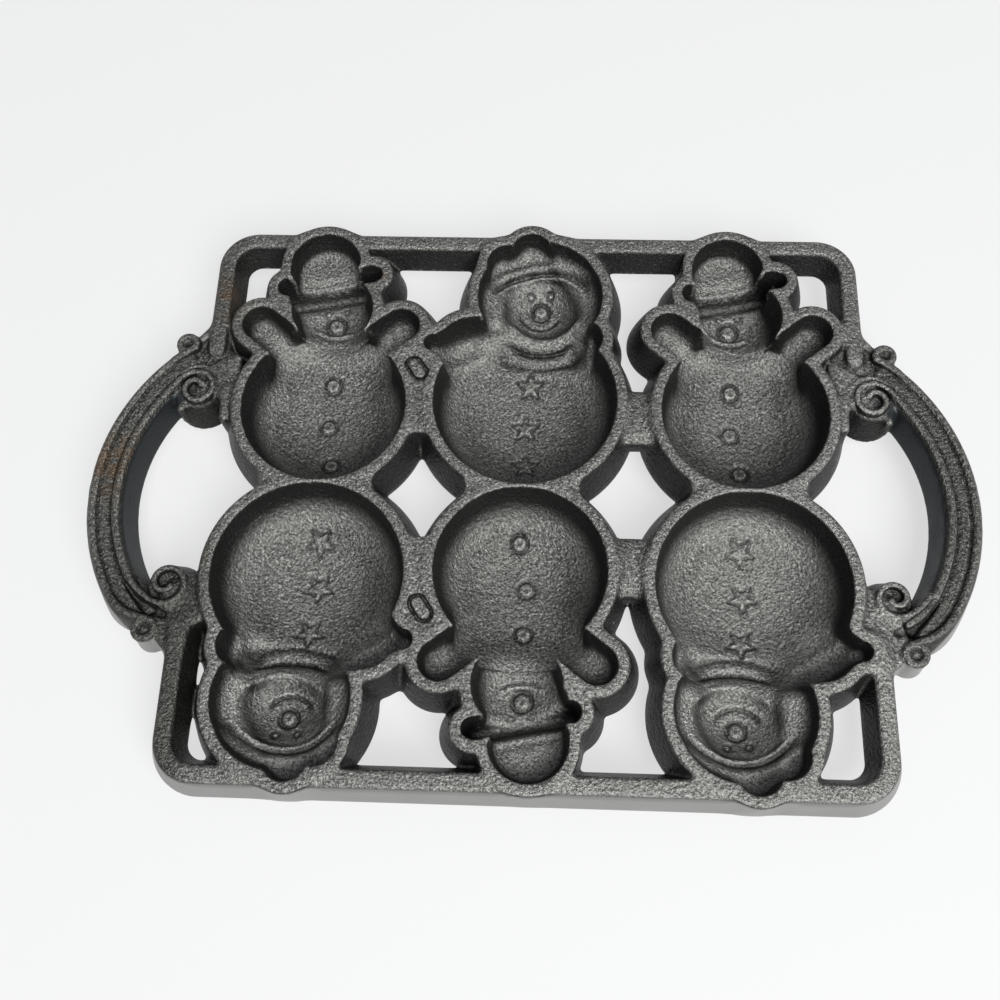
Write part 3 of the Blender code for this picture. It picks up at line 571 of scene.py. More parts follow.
def rounded_frame(x, y):
    """Distance outward from the outer edge of the frame's flat top."""
    half_height = (FRAME_TOP - FRAME_BOTTOM) / 2
    across = np.abs(x) - (FRAME_HALF_WIDTH - FRAME_CORNER)
    up = np.abs(y - (FRAME_TOP + FRAME_BOTTOM) / 2) - (half_height - FRAME_CORNER)
    outside = np.hypot(np.maximum(across, 0.0), np.maximum(up, 0.0))
    return outside + np.minimum(np.maximum(across, up), 0.0) - FRAME_CORNER


def rail_field():
    made = Field()
    out = rounded_frame(made.x, made.y)
    share = np.clip((RAIL_TOP - made.z) / (RAIL_TOP - RAIL_FOOT), *RAIL_LIMITS)
    outer = out - RAIL_OUTER_FLARE * share
    inner = -RAIL_WIDTH - RAIL_INNER_FLARE * share - out
    bar = smooth_max(outer, inner, BAR_ROUNDING)
    bar = smooth_max(bar, made.z - RAIL_TOP, BAR_ROUNDING)
    bar = smooth_max(bar, RAIL_FOOT - made.z, BAR_ROUNDING)
    made.value = smooth_max(bar, RAIL_END_Y - np.abs(made.y), RAIL_END_ROUNDING).astype(np.float32)
    return made


def side_field(side, low_y, high_y):
    return full_height(*sorted((side * SIDE_NEAR, side * SIDE_FAR)), low_y, high_y)


def handle_coordinates(field, side):
    """Distance outward from the middle of a handle's bar, and degrees round its centre."""
    dx = side * field.x - HANDLE_X
    dy = field.y - HANDLE_Y
    angle = np.degrees(np.arctan2(dy, -dx)) % 360.0
    return np.hypot(dx, dy) - HANDLE_RADIUS, angle


def handle_field(side):
    made = side_field(side, *HANDLE_YS)
    out, angle = handle_coordinates(made, side)
    share = np.clip((HANDLE_TOP - made.z) / (HANDLE_TOP - HANDLE_FOOT), 0.0, SLOPE_END)
    bent = out + LOWER_SHIFT[side] * np.clip((angle - LOWER_BEND) / BEND_RUN, 0.0, BEND_END) ** 2
    wall = np.maximum(-out, bent) - HANDLE_HALF_WIDTH - HANDLE_FLARE * share
    beyond = np.where(angle < 180.0, UPPER_BEAD_END - angle, angle - LOWER_BEAD_END)
    sunk = BEAD_END_DROP * fade_in(beyond, BEAD_END_RUN) * fade_in(BEAD_SIDE - out, BEAD_SIDE_RUN)
    drop = np.interp(bent, HANDLE_ACROSS, HANDLE_DROP) + sunk
    bar = smooth_max(wall, (made.z - HANDLE_TOP + drop) * HANDLE_TOP_SLOPE, HANDLE_TOP_ROUNDING)
    bar = smooth_max(bar, HANDLE_FOOT - made.z, BAR_ROUNDING)
    past_end = (np.radians(angle) - math.radians(HANDLE_END)) * HANDLE_RADIUS
    before_start = (math.radians(HANDLE_START) - np.radians(angle)) * HANDLE_RADIUS
    bar = smooth_max(bar, past_end, HANDLE_END_ROUNDING)
    made.value = smooth_max(bar, before_start, HANDLE_END_ROUNDING).astype(np.float32)
    return made


def add_strand(body, z, x, y, points, strand):
    """Adds a round-topped ridge along a path, with upright sides down to its foot."""
    half_width, top, foot, fillet = strand
    above = np.maximum(z - (top - half_width), 0.0)
    ridge = smooth_max(np.hypot(path_distance(x, y, points), above) - half_width, foot - z, STRAND_ROUNDING)
    return smooth_min(body, ridge, fillet)


def add_eye(body, z, x, y, middle, drop):
    """Adds the ball at the end of a spiral, with its middle this far below the rims."""
    ball = np.sqrt((x - middle[0]) ** 2 + (y - middle[1]) ** 2 + (z - RIM + drop) ** 2) - EYE_RADIUS
    return smooth_min(body, ball, EYE_FILLET)


def lower_lead(side):
    """The path along which the outer bead of a handle runs into its lower curl."""
    reaches = []
    for turn in LOWER_LEAD_TURNS:
        bend = LOWER_SHIFT[side] * ((turn + 180.0 - LOWER_BEND) / BEND_RUN) ** 2
        reaches.append(HANDLE_RADIUS + LOWER_LEAD_OUT - bend)
    return round_points((HANDLE_X, -HANDLE_Y), reaches, LOWER_LEAD_TURNS)


def block_field(side, up):
    """A scroll block, worked out as if it were the upper right one."""
    scroll, scroll_radius, curl, curl_radius = SCROLLS[side, up]
    made = side_field(side, *sorted(up * y for y in BLOCK_YS))
    x, y, z = side * made.x, up * made.y, made.z

    rail_inner = FRAME_HALF_WIDTH - RAIL_WIDTH
    slot_y = LEFT_SLOT_Y if side < 0 else curl[1]
    outline = [
        curl, (FRAME_HALF_WIDTH, BLOCK_END_Y), (rail_inner, BLOCK_END_Y),
        (rail_inner - SLOT_INSET, slot_y + SLOT_RUN), (BLOCK_INNER_X, slot_y),
        (BLOCK_INNER_X, scroll[1] - SCROLL_RADIUS), scroll,
    ]
    body = slab(polygon_distance(x, y, outline), z, BLOCK_FOOT, BLOCK_TOP, BLOCK_FLARE, BLOCK_ROUNDING)
    out, angle = handle_coordinates(made, side)
    seat = smooth_max(np.abs(out) - HANDLE_HALF_WIDTH, SEAT_FLOOR - z, SEAT_EDGE_ROUNDING)
    if up < 0:
        seat = smooth_max(seat, (angle - SEAT_END) * SEAT_SLOPE, SEAT_END_ROUNDING)
    body = smooth_max(body, -seat, SEAT_ROUNDING)

    column = np.hypot(x - scroll[0], y - scroll[1]) - scroll_radius
    column = slab(column, z, COLUMN_FOOT, COLUMN_TOP, COLUMN_FLARE, COLUMN_ROUNDING)
    body = smooth_min(body, column, COLUMN_FILLET)
    spiral = UPPER_SPIRAL if up > 0 else LOWER_SPIRAL
    spiral = spiral_points(scroll, spiral, scroll_radius / SCROLL_RADIUS)
    body = add_strand(body, z, x, y, spiral, SCROLL_STRAND)
    body = add_eye(body, z, x, y, spiral[-1], SCROLL_EYE_DROP)
    body = add_strand(body, z, x, y, arc_points(scroll, scroll_radius + LINE_OUT, *LINE_TURNS), LINE_STRAND)

    knob = np.hypot(x - curl[0], y - curl[1]) - curl_radius + KNOB_INSET
    knob = slab(knob, z, BLOCK_FOOT, KNOB_TOP, KNOB_FLARE, KNOB_ROUNDING)
    body = smooth_min(body, knob, KNOB_ROUNDING)
    if up > 0:
        lead = round_points((HANDLE_X, HANDLE_Y), [UPPER_LEAD_RADIUS], [UPPER_LEAD_TURN])
        coil = arc_points(curl, curl_radius - UPPER_CURL_INSET, UPPER_CURL_START, CURL_END, CURL_STEPS)
    else:
        lead = lower_lead(side)
        coil = arc_points(curl, curl_radius - LOWER_CURL_INSET, LOWER_CURL_START, CURL_END, CURL_STEPS)
        body = add_eye(body, z, x, y, curl, CURL_EYE_DROP)
        below = np.minimum(z - RIM + GROOVE_DROP, 0.0)
        groove = GROOVE_RADIUS - np.hypot(path_distance(x, y, GROOVE), below)
        body = smooth_max(body, groove, GROOVE_ROUNDING)
    body = add_strand(body, z, x, y, lead + coil, CURL_STRAND)
    if up > 0:
        rib = [(scroll[0] + right, scroll[1] + ahead) for right, ahead in RIB]
        body = add_strand(body, z, x, y, rib, RIB_STRAND)
        body = add_strand(body, z, x, y, LINK, LINK_STRAND)
    made.value = body.astype(np.float32)
    return made


def web_field(x0, x1, y0, y1, top):
    made = full_height(x0 - WEB_MARGIN, x1 + WEB_MARGIN, y0 - WEB_MARGIN, y1 + WEB_MARGIN)
    across = np.maximum(x0 - made.x, made.x - x1)
    plan = smooth_max(across, np.maximum(y0 - made.y, made.y - y1), WEB_CORNER)
    made.value = slab(plan, made.z, WEB_FOOT, top, WEB_FLARE, WEB_ROUNDING).astype(np.float32)
    return made


def web_fields():
    """The webs between near cups, and those beside the places where two bodies meet."""
    made = []
    for _, cx, cy, sign in SEAM_CUPS:
        middle = cx + sign * SEAM_WEB_X
        ys = sorted(cy + sign * y for y in SEAM_WEB_YS)
        made.append(web_field(middle - SEAM_WEB_HALF_WIDTH, middle + SEAM_WEB_HALF_WIDTH, *ys, SEAM_WEB_TOP))
    for column in COLUMNS:
        for side in (-1, 1):
            xs = sorted(column + side * x for x in ROW_WEB_XS)
            made.append(web_field(*xs, -ROW_WEB_HALF_HEIGHT, ROW_WEB_HALF_HEIGHT, ROW_WEB_TOP))
    return made


def saddle_fields():
    """The low rounded bridges between the middle and right columns."""
    fields = []
    for _, cx, cy, sign in SADDLE_CUPS:
        middle = cx + sign * SADDLE_X
        y0, y1 = sorted(cy + sign * y for y in SADDLE_YS)
        field = full_height(middle - SADDLE_BOX, middle + SADDLE_BOX, y0 - WEB_MARGIN, y1 + WEB_MARGIN)
        across = np.abs(field.x - middle)
        half_length = (y1 - y0) / 2
        lengthwise = np.abs(field.y - (y0 + y1) / 2)
        fall = SADDLE_SAG * (lengthwise / half_length) ** SADDLE_CURVE
        top = SADDLE_TOP - SADDLE_LEAN * across - fall
        plan = np.maximum(across - SADDLE_HALF_WIDTH, lengthwise - half_length)
        body = smooth_max(plan - SADDLE_BULGE, (field.z - top) * SADDLE_TOP_SLOPE, SADDLE_TOP_ROUNDING)
        field.value = smooth_max(body, SADDLE_FOOT - field.z, SADDLE_FOOT_ROUNDING).astype(np.float32)
        fields.append(field)
    return fields


def lug_and_trench(cup):
    _, cx, cy, sign = cup
    x, y = cx + sign * LUG_PLACE[0], cy + sign * LUG_PLACE[1]
    box = (x - LUG_BOX, y - LUG_BOX, LUG_FOOT), (x + LUG_BOX, y + LUG_BOX, HIGH[2])
    lug, trench = Field(*box), Field(*box)
    ends = round_points((x, y), (-LUG_REACH, LUG_REACH), (LUG_TILT, LUG_TILT))
    away = path_distance(lug.x, lug.y, ends)
    lug.value = slab(away - LUG_RADIUS, lug.z, LUG_FOOT, LUG_TOP, 0.0, LUG_ROUNDING).astype(np.float32)
    trench.value = smooth_max(np.abs(lug.value) - TRENCH_HALF_WIDTH, TRENCH_FLOOR - lug.z, TRENCH_ROUNDING)
    return lug, trench


def casting():
    whole = Field()
    for cup in CUPS:
        whole.add(cup_field(cup, True), CUP_FILLET)
    for field in web_fields() + saddle_fields():
        whole.add(field, JOIN_FILLET)
    whole.value = smooth_max(whole.value, whole.z - RIM, RIM_ROUNDING)
    whole.add(rail_field(), JOIN_FILLET)
    for side in (-1, 1):
        for up in (-1, 1):
            whole.add(block_field(side, up), BLOCK_FILLET)
        whole.add(handle_field(side), HANDLE_FILLET)
    for cup in SEAM_CUPS:
        lug, trench = lug_and_trench(cup)
        whole.carve(trench, TRENCH_ROUNDING)
        whole.add(lug, LUG_FILLET)
    whole.value = smooth_max(whole.value, -whole.z, FOOT_ROUNDING)
    whole.value = np.maximum(whole.value, whole.z - RIM + RIM_CLEARANCE)
    whole.value = smooth_max(whole.value, np.abs(whole.y) - WIDEST_Y, WIDEST_ROUNDING)
    for cup in CUPS:
        whole.carve(cup_field(cup, False), RIM_ROUNDING)
    return whole


def spread(value, reach):
    """The mean over a box of points, this many to each side."""
    for axis in range(3):
        padded = np.concatenate([np.repeat(value.take([0], axis), reach + 1, axis), value,
                                 np.repeat(value.take([-1], axis), reach, axis)], axis)
        total = np.cumsum(padded, axis, dtype=np.float64)
        count = value.shape[axis]
        width = 2 * reach + 1
        value = (total.take(range(width, width + count), axis) - total.take(range(count), axis)) / width
        value = value.astype(np.float32)
    return value


def at_points(value, points):
    """The value at each point, weighed between the eight grid points round it."""
    cell = np.clip(np.floor(points).astype(int), 0, np.array(value.shape) - 2)
    part = points - cell
    total = 0.0
    for corner in range(8):
        offset = np.array([corner & 1, corner >> 1 & 1, corner >> 2 & 1])
        weight = np.prod(np.where(offset, part, 1.0 - part), axis=1)
        place = cell + offset
        total = total + weight * value[place[:, 0], place[:, 1], place[:, 2]]
    return total


# Smooth stretches: how far each starts before its wall, and the run in which it fades in
SKIRT_LEAD = 0.2
SKIRT_RUN = 0.8
SKIRT_TOP = RIM - 1.2
SKIRT_TOP_RUN = 1.2
HANDLE_SKIRT_Y = 60.0             # nearer the middle line than this, the handles are outermost
# The upper cap's peak reaches out over the frame's line: middle and radius of its hollow
PEAK = (COLUMNS[1] + 1.3, CAP_ROW + 66.5)
PEAK_RADIUS = 10.0
INNER_LEAD = 0.2
INNER_RUN = 0.6
INNER_DEPTH = 5.5                 # and ends this far inside the handle's top edge
INNER_TOP = RIM - 1.6
INNER_TOP_RUN = 1.2
INNER_X = 120.0                   # it starts this far out
INNER_X_RUN = 2.0
INNER_END_Y = 40.0                # and ends here, at the scrolls
INNER_END_RUN = 6.0


def skirt_share(points):
    """1 on the outer sides of the frame and handles, which are ground smooth, and 0 elsewhere."""
    x, y, z = points.T
    handle_out = np.hypot(np.abs(x) - HANDLE_X, y - HANDLE_Y) - HANDLE_RADIUS - HANDLE_HALF_WIDTH
    beside = (np.abs(y) < HANDLE_SKIRT_Y) & (np.abs(x) > FRAME_HALF_WIDTH)
    out = np.where(beside, handle_out, rounded_frame(x, y))
    out = np.where(np.hypot(x - PEAK[0], y - PEAK[1]) < PEAK_RADIUS, -1.0, out)
    return fade_in(out + SKIRT_LEAD, SKIRT_RUN) * fade_in(SKIRT_TOP - z, SKIRT_TOP_RUN)


def inner_share(points):
    """1 on the smooth inner walls of the handles, and 0 elsewhere."""
    x, y, z = points.T
    reach = HANDLE_RADIUS - HANDLE_HALF_WIDTH - np.hypot(np.abs(x) - HANDLE_X, y - HANDLE_Y)
    beside = fade_in(np.abs(x) - INNER_X, INNER_X_RUN) * fade_in(INNER_END_Y - np.abs(y), INNER_END_RUN)
    near = fade_in(reach + INNER_LEAD, INNER_RUN) * fade_in(INNER_DEPTH - reach, INNER_RUN)
    return near * beside * fade_in(INNER_TOP - z, INNER_TOP_RUN)


CLOSE_REACH = 1                   # grid points over which the surface is evened out for its edges
HOLLOW_REACH = 5                  # and, after that, for its hollows


def mesh_from(field):
    volume = openvdb.FloatGrid(BAND)
    level = np.clip(field.value, -BAND, BAND)
    volume.copyFromArray(np.ascontiguousarray(level))
    places, triangles, quads = volume.convertToPolygons(isovalue=0.0, adaptivity=ADAPTIVITY)
    places = np.asarray(places, np.float64)
    points = places * STEP + np.array(LOW)
    faces = [np.asarray(triangles).reshape(-1, 3), np.asarray(quads).reshape(-1, 4)]
    loops = np.concatenate([part[:, ::-1].ravel() for part in faces])
    totals = np.concatenate([np.full(len(part), part.shape[1]) for part in faces])
    starts = np.concatenate([[0], np.cumsum(totals)[:-1]])
    mesh = bpy.data.meshes.new("pan_casting")
    mesh.vertices.add(len(points))
    mesh.vertices.foreach_set("co", (points * MM).ravel())
    mesh.loops.add(len(loops))
    mesh.loops.foreach_set("vertex_index", loops.astype(np.int32))
    mesh.polygons.add(len(totals))
    mesh.polygons.foreach_set("loop_start", starts.astype(np.int32))
    mesh.polygons.foreach_set("loop_total", totals.astype(np.int32))
    mesh.update(calc_edges=True)
    mesh.polygons.foreach_set("use_smooth", [True] * len(mesh.polygons))
    close = spread(level, CLOSE_REACH)
    depth = at_points(level, places)
    shares = {
        "edge": at_points(close, places) - depth,
        "hollow": at_points(spread(close, HOLLOW_REACH), places) - depth,
        "skirt": skirt_share(points),
        "inner": inner_share(points),
    }
    for name, values in shares.items():
        mesh.attributes.new(name, "FLOAT", "POINT").data.foreach_set("value", values.astype(np.float32))
    return mesh


class Shader:
    """Short names for building a node material."""

    def __init__(self, name):
        self.material = bpy.data.materials.new(name)
        self.material.use_nodes = True
        self.nodes = self.material.node_tree.nodes
        self.links = self.material.node_tree.links
        self.principled = self.nodes["Principled BSDF"]
        self.place = self.nodes.new("ShaderNodeTexCoord").outputs["Object"]

    def feed(self, socket, value):
        if isinstance(value, bpy.types.NodeSocket):
            self.links.new(value, socket)
        else:
            socket.default_value = value

    def split(self, vector):
        node = self.nodes.new("ShaderNodeSeparateXYZ")
        self.links.new(vector, node.inputs[0])
        return node.outputs

    def noise(self, scale, detail=3.0):
        node = self.nodes.new("ShaderNodeTexNoise")
        node.inputs["Scale"].default_value = scale
        node.inputs["Detail"].default_value = detail
        node.inputs["Roughness"].default_value = NOISE_ROUGHNESS
        self.links.new(self.place, node.inputs["Vector"])
        return node.outputs["Fac"]

    def attribute(self, name):
        node = self.nodes.new("ShaderNodeAttribute")
        node.attribute_name = name
        return node.outputs["Fac"]

    def distance(self, point):
        node = self.nodes.new("ShaderNodeVectorMath")
        node.operation = "DISTANCE"
        self.links.new(self.place, node.inputs[0])
        node.inputs[1].default_value = point
        return node.outputs["Value"]

    def ramp(self, value, low, high, start=0.0, end=1.0):
        """A soft step from start to end while the value goes from low to high."""
        node = self.nodes.new("ShaderNodeMapRange")
        node.interpolation_type = "SMOOTHSTEP"
        for socket, given in zip(node.inputs, (value, low, high, start, end)):
            self.feed(socket, given)
        return node.outputs["Result"]

    def math(self, operation, first, second=0.0):
        node = self.nodes.new("ShaderNodeMath")
        node.operation = operation
        self.feed(node.inputs[0], first)
        self.feed(node.inputs[1], second)
        return node.outputs["Value"]

    def times(self, first, *others):
        for other in others:
            first = self.math("MULTIPLY", first, other)
        return first

    def mix(self, share, first, second):
        node = self.nodes.new("ShaderNodeMix")
        node.data_type = "RGBA"
        self.feed(node.inputs[0], share)
        self.feed(node.inputs[6], first)
        self.feed(node.inputs[7], second)
        return node.outputs[2]

    def paint(self, share, colour, tint):
        """Lays one plain tint over a colour."""
        return self.mix(share, colour, (*tint, 1.0))


# Tints of the iron. A pair is for its darkest and its lightest patches.
# Steep and level tints: partly worn seasoning, partly painted shade on steep walls and painted light on faces
# that look up
STEEP_TINTS = ((0.013, 0.014, 0.013), (0.028, 0.029, 0.027))
LEVEL_TINTS = ((0.080, 0.082, 0.076), (0.172, 0.174, 0.162))
SKIRT_TINTS = ((0.20, 0.20, 0.195), (0.33, 0.33, 0.32))
INNER_TINTS = ((0.022, 0.025, 0.027), (0.040, 0.045, 0.048))
# painted shade deep in the cavities
SUNK_SHADE_TINT = (0.018, 0.019, 0.018)
# painted light where the surface is open to the sky
OPEN_SKY_LIGHT_TINT = (0.25, 0.248, 0.232)
EDGE_TINT = (0.36, 0.355, 0.335)
# painted glints in the grain
GLINT_SPECK_TINT = (0.44, 0.44, 0.42)
# painted shade on the handles and the left rail
PAINTED_SHADE_TINT = (0.02, 0.018, 0.014)
RUST_TINT = (0.135, 0.075, 0.032)
# painted light towards the front right
FRONT_RIGHT_LIGHT_TINT = (0.30, 0.30, 0.28)
# painted light on the shelves in the cups
SHELF_LIGHT_TINT = (0.34, 0.34, 0.32)
# dark pits in the grain and painted shade in creases
PIT_AND_CREASE_SHADE_TINT = (0.009, 0.010, 0.009)

# How strongly some of them cover what is under them
SAND_COVER = 0.25
SUNK_SHADE_COVER = 0.4
OPEN_SKY_LIGHT_COVER = 0.45
EDGE_COVER = 0.75
RUST_COVER = 0.6
SHELF_LIGHT_COVER = 0.28

# Noises, in bumps to a metre
NOISE_ROUGHNESS = 0.6
GRAIN_SCALE = 1150.0
SAND_SCALE = 640.0
PATCH_SCALE = 45.0
PATCH_DETAIL = 4.0
RUST_SCALE = 160.0

# Ramps: from where to where, and the values at both ends where they aren't 0 and 1. The comments
# say what is measured, in metres, and the others are of shares and noises.
LEVEL_RAMP = (0.30, 0.88)  # the upward part of the surface's direction, a share
STEEP_RAMP = (0.45, 0.75, 1.0, 0.0)  # the same
EDGE_SAND_RAMP = (0.3, 0.7, -0.05, 0.05)
EDGE_RAMP = (0.07, 0.19)
OPEN_SKY_LIGHT_RAMP = (-0.55, 0.25)
GLINT_SPECK_RAMP = (0.53, 0.66)
GLINT_PATCH_RAMP = (0.3, 0.65, 0.45, 1.15)
GLINT_LEVEL_RAMP = (0.0, 1.0, 0.05, 0.55)
SAND_RAMP = (0.43, 0.57)
SUNK_RAMP = (0.013, 0.005)  # height
HANDLE_SHADE_RAMP = (0.129, 0.141, 0.0, 0.42)  # X, on either side
LEFT_SHADE_RAMP = (-0.112, -0.122)  # X
FRONT_SHADE_RAMP = (-0.02, -0.055, 0.35, 0.62)  # Y
RUST_RAMP = (0.38, 0.62)
PIT_RAMP = (0.475, 0.40, 0.0, 0.55)
CREASE_SHADE_RAMP = (-0.015, -0.10, 0.0, 0.5)
FRONT_RIGHT_LIGHT_RAMP = (0.04, 0.13, 0.0, 0.26)  # X less Y
FRONT_RIGHT_LIGHT_END_RAMP = (0.127, 0.132, 1.0, 0.0)  # X, on either side
SHELF_FOOT_RAMP = (0.0065, 0.0105)  # height
SHELF_TOP_RAMP = (0.025, 0.022)  # height
BUMP_RAMP = (0.0, 1.0, 0.9, 0.15)
ROUGHNESS_RAMP = (0.3, 0.7, 0.38, 0.52)

BUMP_DISTANCE = 0.0011
BUMP_GRAIN = 0.5                  # share of the fine grain in the bumps
METALLIC = 0.7
SPECULAR = 0.25
# Places where the iron has browned: middle and reach, in millimetres
RUST = (
    ((-64.0, 88.0, 28.0), 7.0), ((80.0, 88.0, 24.0), 5.0), ((-158.0, 6.0, 27.0), 22.0),
    ((-123.0, -30.0, 28.0), 9.0), ((-125.0, 78.0, 28.0), 16.0), ((-83.0, 95.0, 28.0), 8.0),
)


def iron_material():
    made = Shader("cast_iron_sandy")
    direction = made.split(made.nodes.new("ShaderNodeNewGeometry").outputs["Normal"])
    place = made.split(made.place)
    outward = made.math("ABSOLUTE", place["X"])
    grain = made.noise(GRAIN_SCALE)
    sand = made.noise(SAND_SCALE)
    patches = made.noise(PATCH_SCALE, PATCH_DETAIL)
    edge = made.attribute("edge")
    level = made.ramp(direction["Z"], *LEVEL_RAMP)

    def patchy(tints):
        return made.mix(patches, (*tints[0], 1.0), (*tints[1], 1.0))

    # Dark steep walls and lighter level faces, with sand in them: partly worn seasoning, partly painted shade
    # on the walls and painted light on faces that look up. Darker low down, which is painted shade
    dark, lit = patchy(STEEP_TINTS), patchy(LEVEL_TINTS)
    lit = made.mix(made.ramp(sand, *SAND_RAMP), made.mix(SAND_COVER, dark, lit), lit)
    colour = made.mix(level, dark, lit)
    # painted shade low down, deep in the cavities
    sunk = made.ramp(place["Z"], *SUNK_RAMP)
    colour = made.paint(made.times(sunk, SUNK_SHADE_COVER), colour, SUNK_SHADE_TINT)

    # Painted light where the surface bulges out, open to the sky, lighter where it stands on an edge, and
    # bright specks, which are painted glints
    open_sky_light = made.ramp(made.attribute("hollow"), *OPEN_SKY_LIGHT_RAMP)
    colour = made.paint(made.times(level, OPEN_SKY_LIGHT_COVER, open_sky_light), colour, OPEN_SKY_LIGHT_TINT)
    sharp = made.ramp(made.math("ADD", edge, made.ramp(sand, *EDGE_SAND_RAMP)), *EDGE_RAMP)
    colour = made.paint(made.times(sharp, EDGE_COVER), colour, EDGE_TINT)
    # bright specks of the grain are painted glints, mostly on faces that look up
    glint_speck = made.times(made.ramp(grain, *GLINT_SPECK_RAMP), made.ramp(patches, *GLINT_PATCH_RAMP))
    colour = made.paint(made.times(glint_speck, made.ramp(level, *GLINT_LEVEL_RAMP)), colour, GLINT_SPECK_TINT)

    # Painted shade on the handles and on the left rail, more towards the front
    left = made.times(made.ramp(place["X"], *LEFT_SHADE_RAMP), made.ramp(place["Y"], *FRONT_SHADE_RAMP))
    painted_shade = made.math("MAXIMUM", made.ramp(outward, *HANDLE_SHADE_RAMP), left)
    colour = made.paint(painted_shade, colour, PAINTED_SHADE_TINT)

    rust = 0.0
    for middle, reach in RUST:
        away = made.distance([part * MM for part in middle])
        rust = made.math("MAXIMUM", made.ramp(away, reach * MM, 0.0), rust)
    rust = made.times(rust, made.ramp(made.noise(RUST_SCALE), *RUST_RAMP), RUST_COVER)
    colour = made.paint(rust, colour, RUST_TINT)

    # Painted light towards the front right and on the shelves in the cups, dark pits in the grain, and
    # painted shade in grooves
    slant = made.math("SUBTRACT", place["X"], place["Y"])
    # painted light from the front right, on faces that look up
    front_right_light = made.times(made.ramp(slant, *FRONT_RIGHT_LIGHT_RAMP), level, made.ramp(outward, *FRONT_RIGHT_LIGHT_END_RAMP))
    colour = made.paint(front_right_light, colour, FRONT_RIGHT_LIGHT_TINT)
    # painted light on the level shelves partway down the cups
    shelf_light = made.times(made.ramp(place["Z"], *SHELF_FOOT_RAMP), made.ramp(place["Z"], *SHELF_TOP_RAMP))
    colour = made.paint(made.times(shelf_light, level, SHELF_LIGHT_COVER), colour, SHELF_LIGHT_TINT)
    # dark pits in the grain, and painted shade in grooves and creases
    pits_and_crease_shade = made.math("MAXIMUM", made.times(made.ramp(grain, *PIT_RAMP), level), made.ramp(edge, *CREASE_SHADE_RAMP))
    colour = made.paint(pits_and_crease_shade, colour, PIT_AND_CREASE_SHADE_TINT)

    # Smooth stretches
    skirt = made.times(made.attribute("skirt"), made.ramp(direction["Z"], *STEEP_RAMP))
    colour = made.mix(skirt, colour, patchy(SKIRT_TINTS))
    inner = made.attribute("inner")
    colour = made.mix(inner, colour, patchy(INNER_TINTS))

    bumps = made.nodes.new("ShaderNodeBump")
    bumps.inputs["Distance"].default_value = BUMP_DISTANCE
    made.feed(bumps.inputs["Strength"], made.ramp(made.math("MAXIMUM", skirt, inner), *BUMP_RAMP))
    made.feed(bumps.inputs["Height"], made.math("ADD", made.times(grain, BUMP_GRAIN), sand))
    made.feed(made.principled.inputs["Base Color"], colour)
    made.feed(made.principled.inputs["Normal"], bumps.outputs["Normal"])
    made.feed(made.principled.inputs["Roughness"], made.ramp(patches, *ROUGHNESS_RAMP))
    made.feed(made.principled.inputs["Metallic"], METALLIC)
    made.feed(made.principled.inputs["Specular IOR Level"], SPECULAR)
    return made.material


# Stage, in metres and watts
TABLE_HALF_WIDTH = 6.0
TABLE_COLOUR = (0.545, 0.55, 0.55, 1.0)
TABLE_ROUGHNESS = 0.7
TABLE_GLOW = (0.942, 0.947, 0.942, 1.0)  # what the camera and the iron see of the table
TABLE_GLOW_SHARE = 0.68
SKY_COLOUR = (0.93, 0.96, 1.0, 1.0)
SKY_STRENGTH = 0.32
LAMP_PLACE = (0.60, -1.08, 1.57)  # it shines on the origin
LAMP_SIZE = 1.5
LAMP_POWER = 71.0
CAMERA_PLACE = (0.0041, -0.1557, 0.4163)
CAMERA_DIRECTION = (-0.0356, 0.3590, -0.9327)
CAMERA_ROLL = -4.023  # degrees
FOCAL_LENGTH = 40.32  # millimetres
SENSOR_WIDTH = 36.0


def link(thing):
    bpy.context.scene.collection.objects.link(thing)


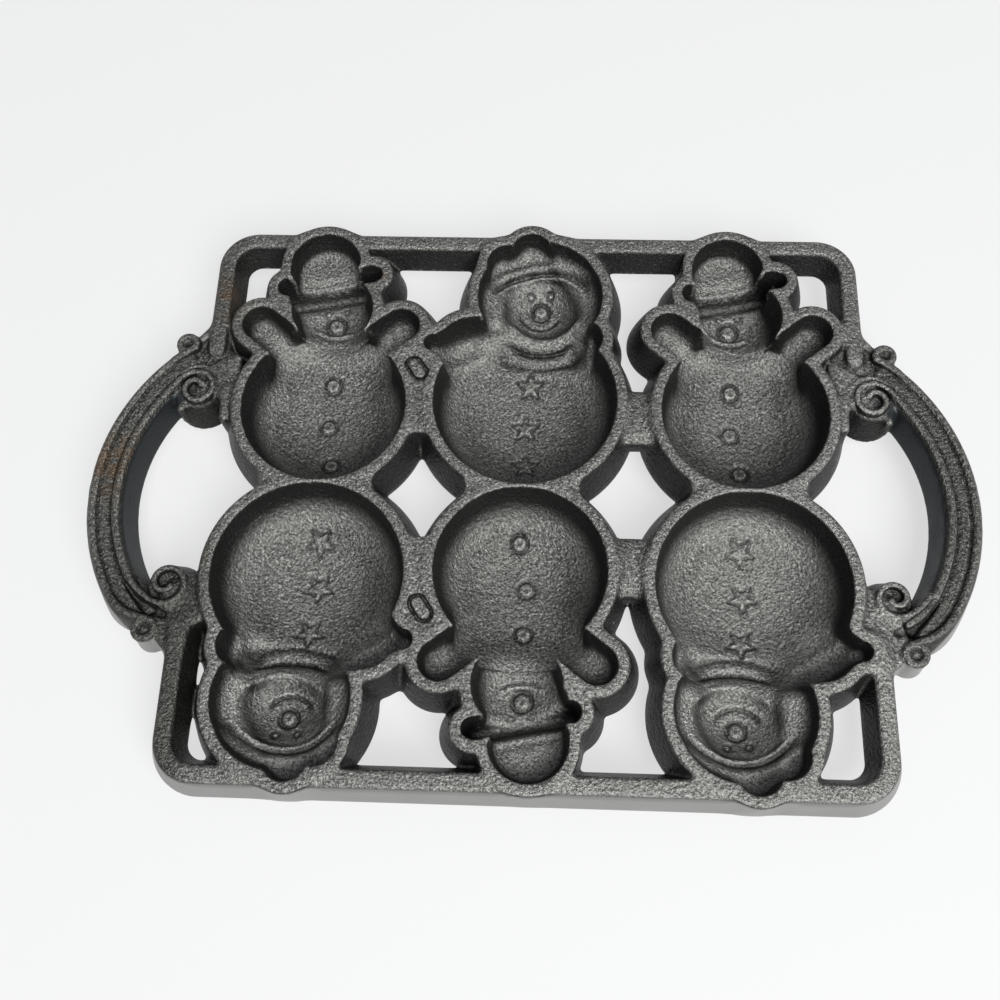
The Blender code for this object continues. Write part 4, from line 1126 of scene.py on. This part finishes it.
def table_material():
    made = bpy.data.materials.new("table_white")
    made.use_nodes = True
    nodes, links = made.node_tree.nodes, made.node_tree.links
    shader = nodes["Principled BSDF"]
    shader.inputs["Base Color"].default_value = TABLE_COLOUR
    shader.inputs["Roughness"].default_value = TABLE_ROUGHNESS
    glow = nodes.new("ShaderNodeEmission")
    glow.inputs["Color"].default_value = TABLE_GLOW
    seen = nodes.new("ShaderNodeLightPath")
    either = nodes.new("ShaderNodeMath")
    either.operation = "MAXIMUM"
    links.new(seen.outputs["Is Camera Ray"], either.inputs[0])
    links.new(seen.outputs["Is Glossy Ray"], either.inputs[1])
    share = nodes.new("ShaderNodeMath")
    share.operation = "MULTIPLY"
    share.inputs[1].default_value = TABLE_GLOW_SHARE
    links.new(either.outputs["Value"], share.inputs[0])
    mixed = nodes.new("ShaderNodeMixShader")
    links.new(share.outputs["Value"], mixed.inputs[0])
    links.new(shader.outputs["BSDF"], mixed.inputs[1])
    links.new(glow.outputs["Emission"], mixed.inputs[2])
    links.new(mixed.outputs["Shader"], nodes["Material Output"].inputs["Surface"])
    return made


def make_floor():
    half = TABLE_HALF_WIDTH
    mesh = bpy.data.meshes.new("table")
    mesh.from_pydata([(-half, -half, 0.0), (half, -half, 0.0), (half, half, 0.0), (-half, half, 0.0)],
                     [], [(0, 1, 2, 3)])
    mesh.materials.append(table_material())
    table = bpy.data.objects.new("table", mesh)
    link(table)


def make_lights():
    world = bpy.data.worlds.new("studio")
    world.use_nodes = True
    background = world.node_tree.nodes["Background"]
    background.inputs["Color"].default_value = SKY_COLOUR
    background.inputs["Strength"].default_value = SKY_STRENGTH
    bpy.context.scene.world = world
    lamp = bpy.data.lights.new("overhead", "AREA")
    lamp.shape = "DISK"
    lamp.size = LAMP_SIZE
    lamp.energy = LAMP_POWER
    holder = bpy.data.objects.new("overhead", lamp)
    holder.location = LAMP_PLACE
    holder.rotation_euler = (-Vector(LAMP_PLACE)).to_track_quat("-Z", "Y").to_euler()
    link(holder)


def make_camera():
    lens = bpy.data.cameras.new("photo_view")
    lens.sensor_fit = "HORIZONTAL"
    lens.sensor_width = SENSOR_WIDTH
    lens.lens = FOCAL_LENGTH
    lens.clip_start = 0.01
    lens.clip_end = 20.0
    forward = Vector(CAMERA_DIRECTION).normalized()
    right = forward.cross(Vector((0.0, 0.0, 1.0))).normalized()
    up = right.cross(forward)
    upright = Matrix((right, up, -forward)).transposed()
    turned = upright @ Matrix.Rotation(math.radians(CAMERA_ROLL), 3, "Z")
    holder = bpy.data.objects.new("photo_view", lens)
    holder.matrix_world = Matrix.Translation(CAMERA_PLACE) @ turned.to_4x4()
    link(holder)
    bpy.context.scene.camera = holder


pan = bpy.data.objects.new("pan_casting", mesh_from(casting()))
link(pan)
pan.data.materials.append(iron_material())
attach(pan, "root")
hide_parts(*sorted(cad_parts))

make_floor()
make_lights()
make_camera()
bpy.context.scene.view_settings.view_transform = "Standard"
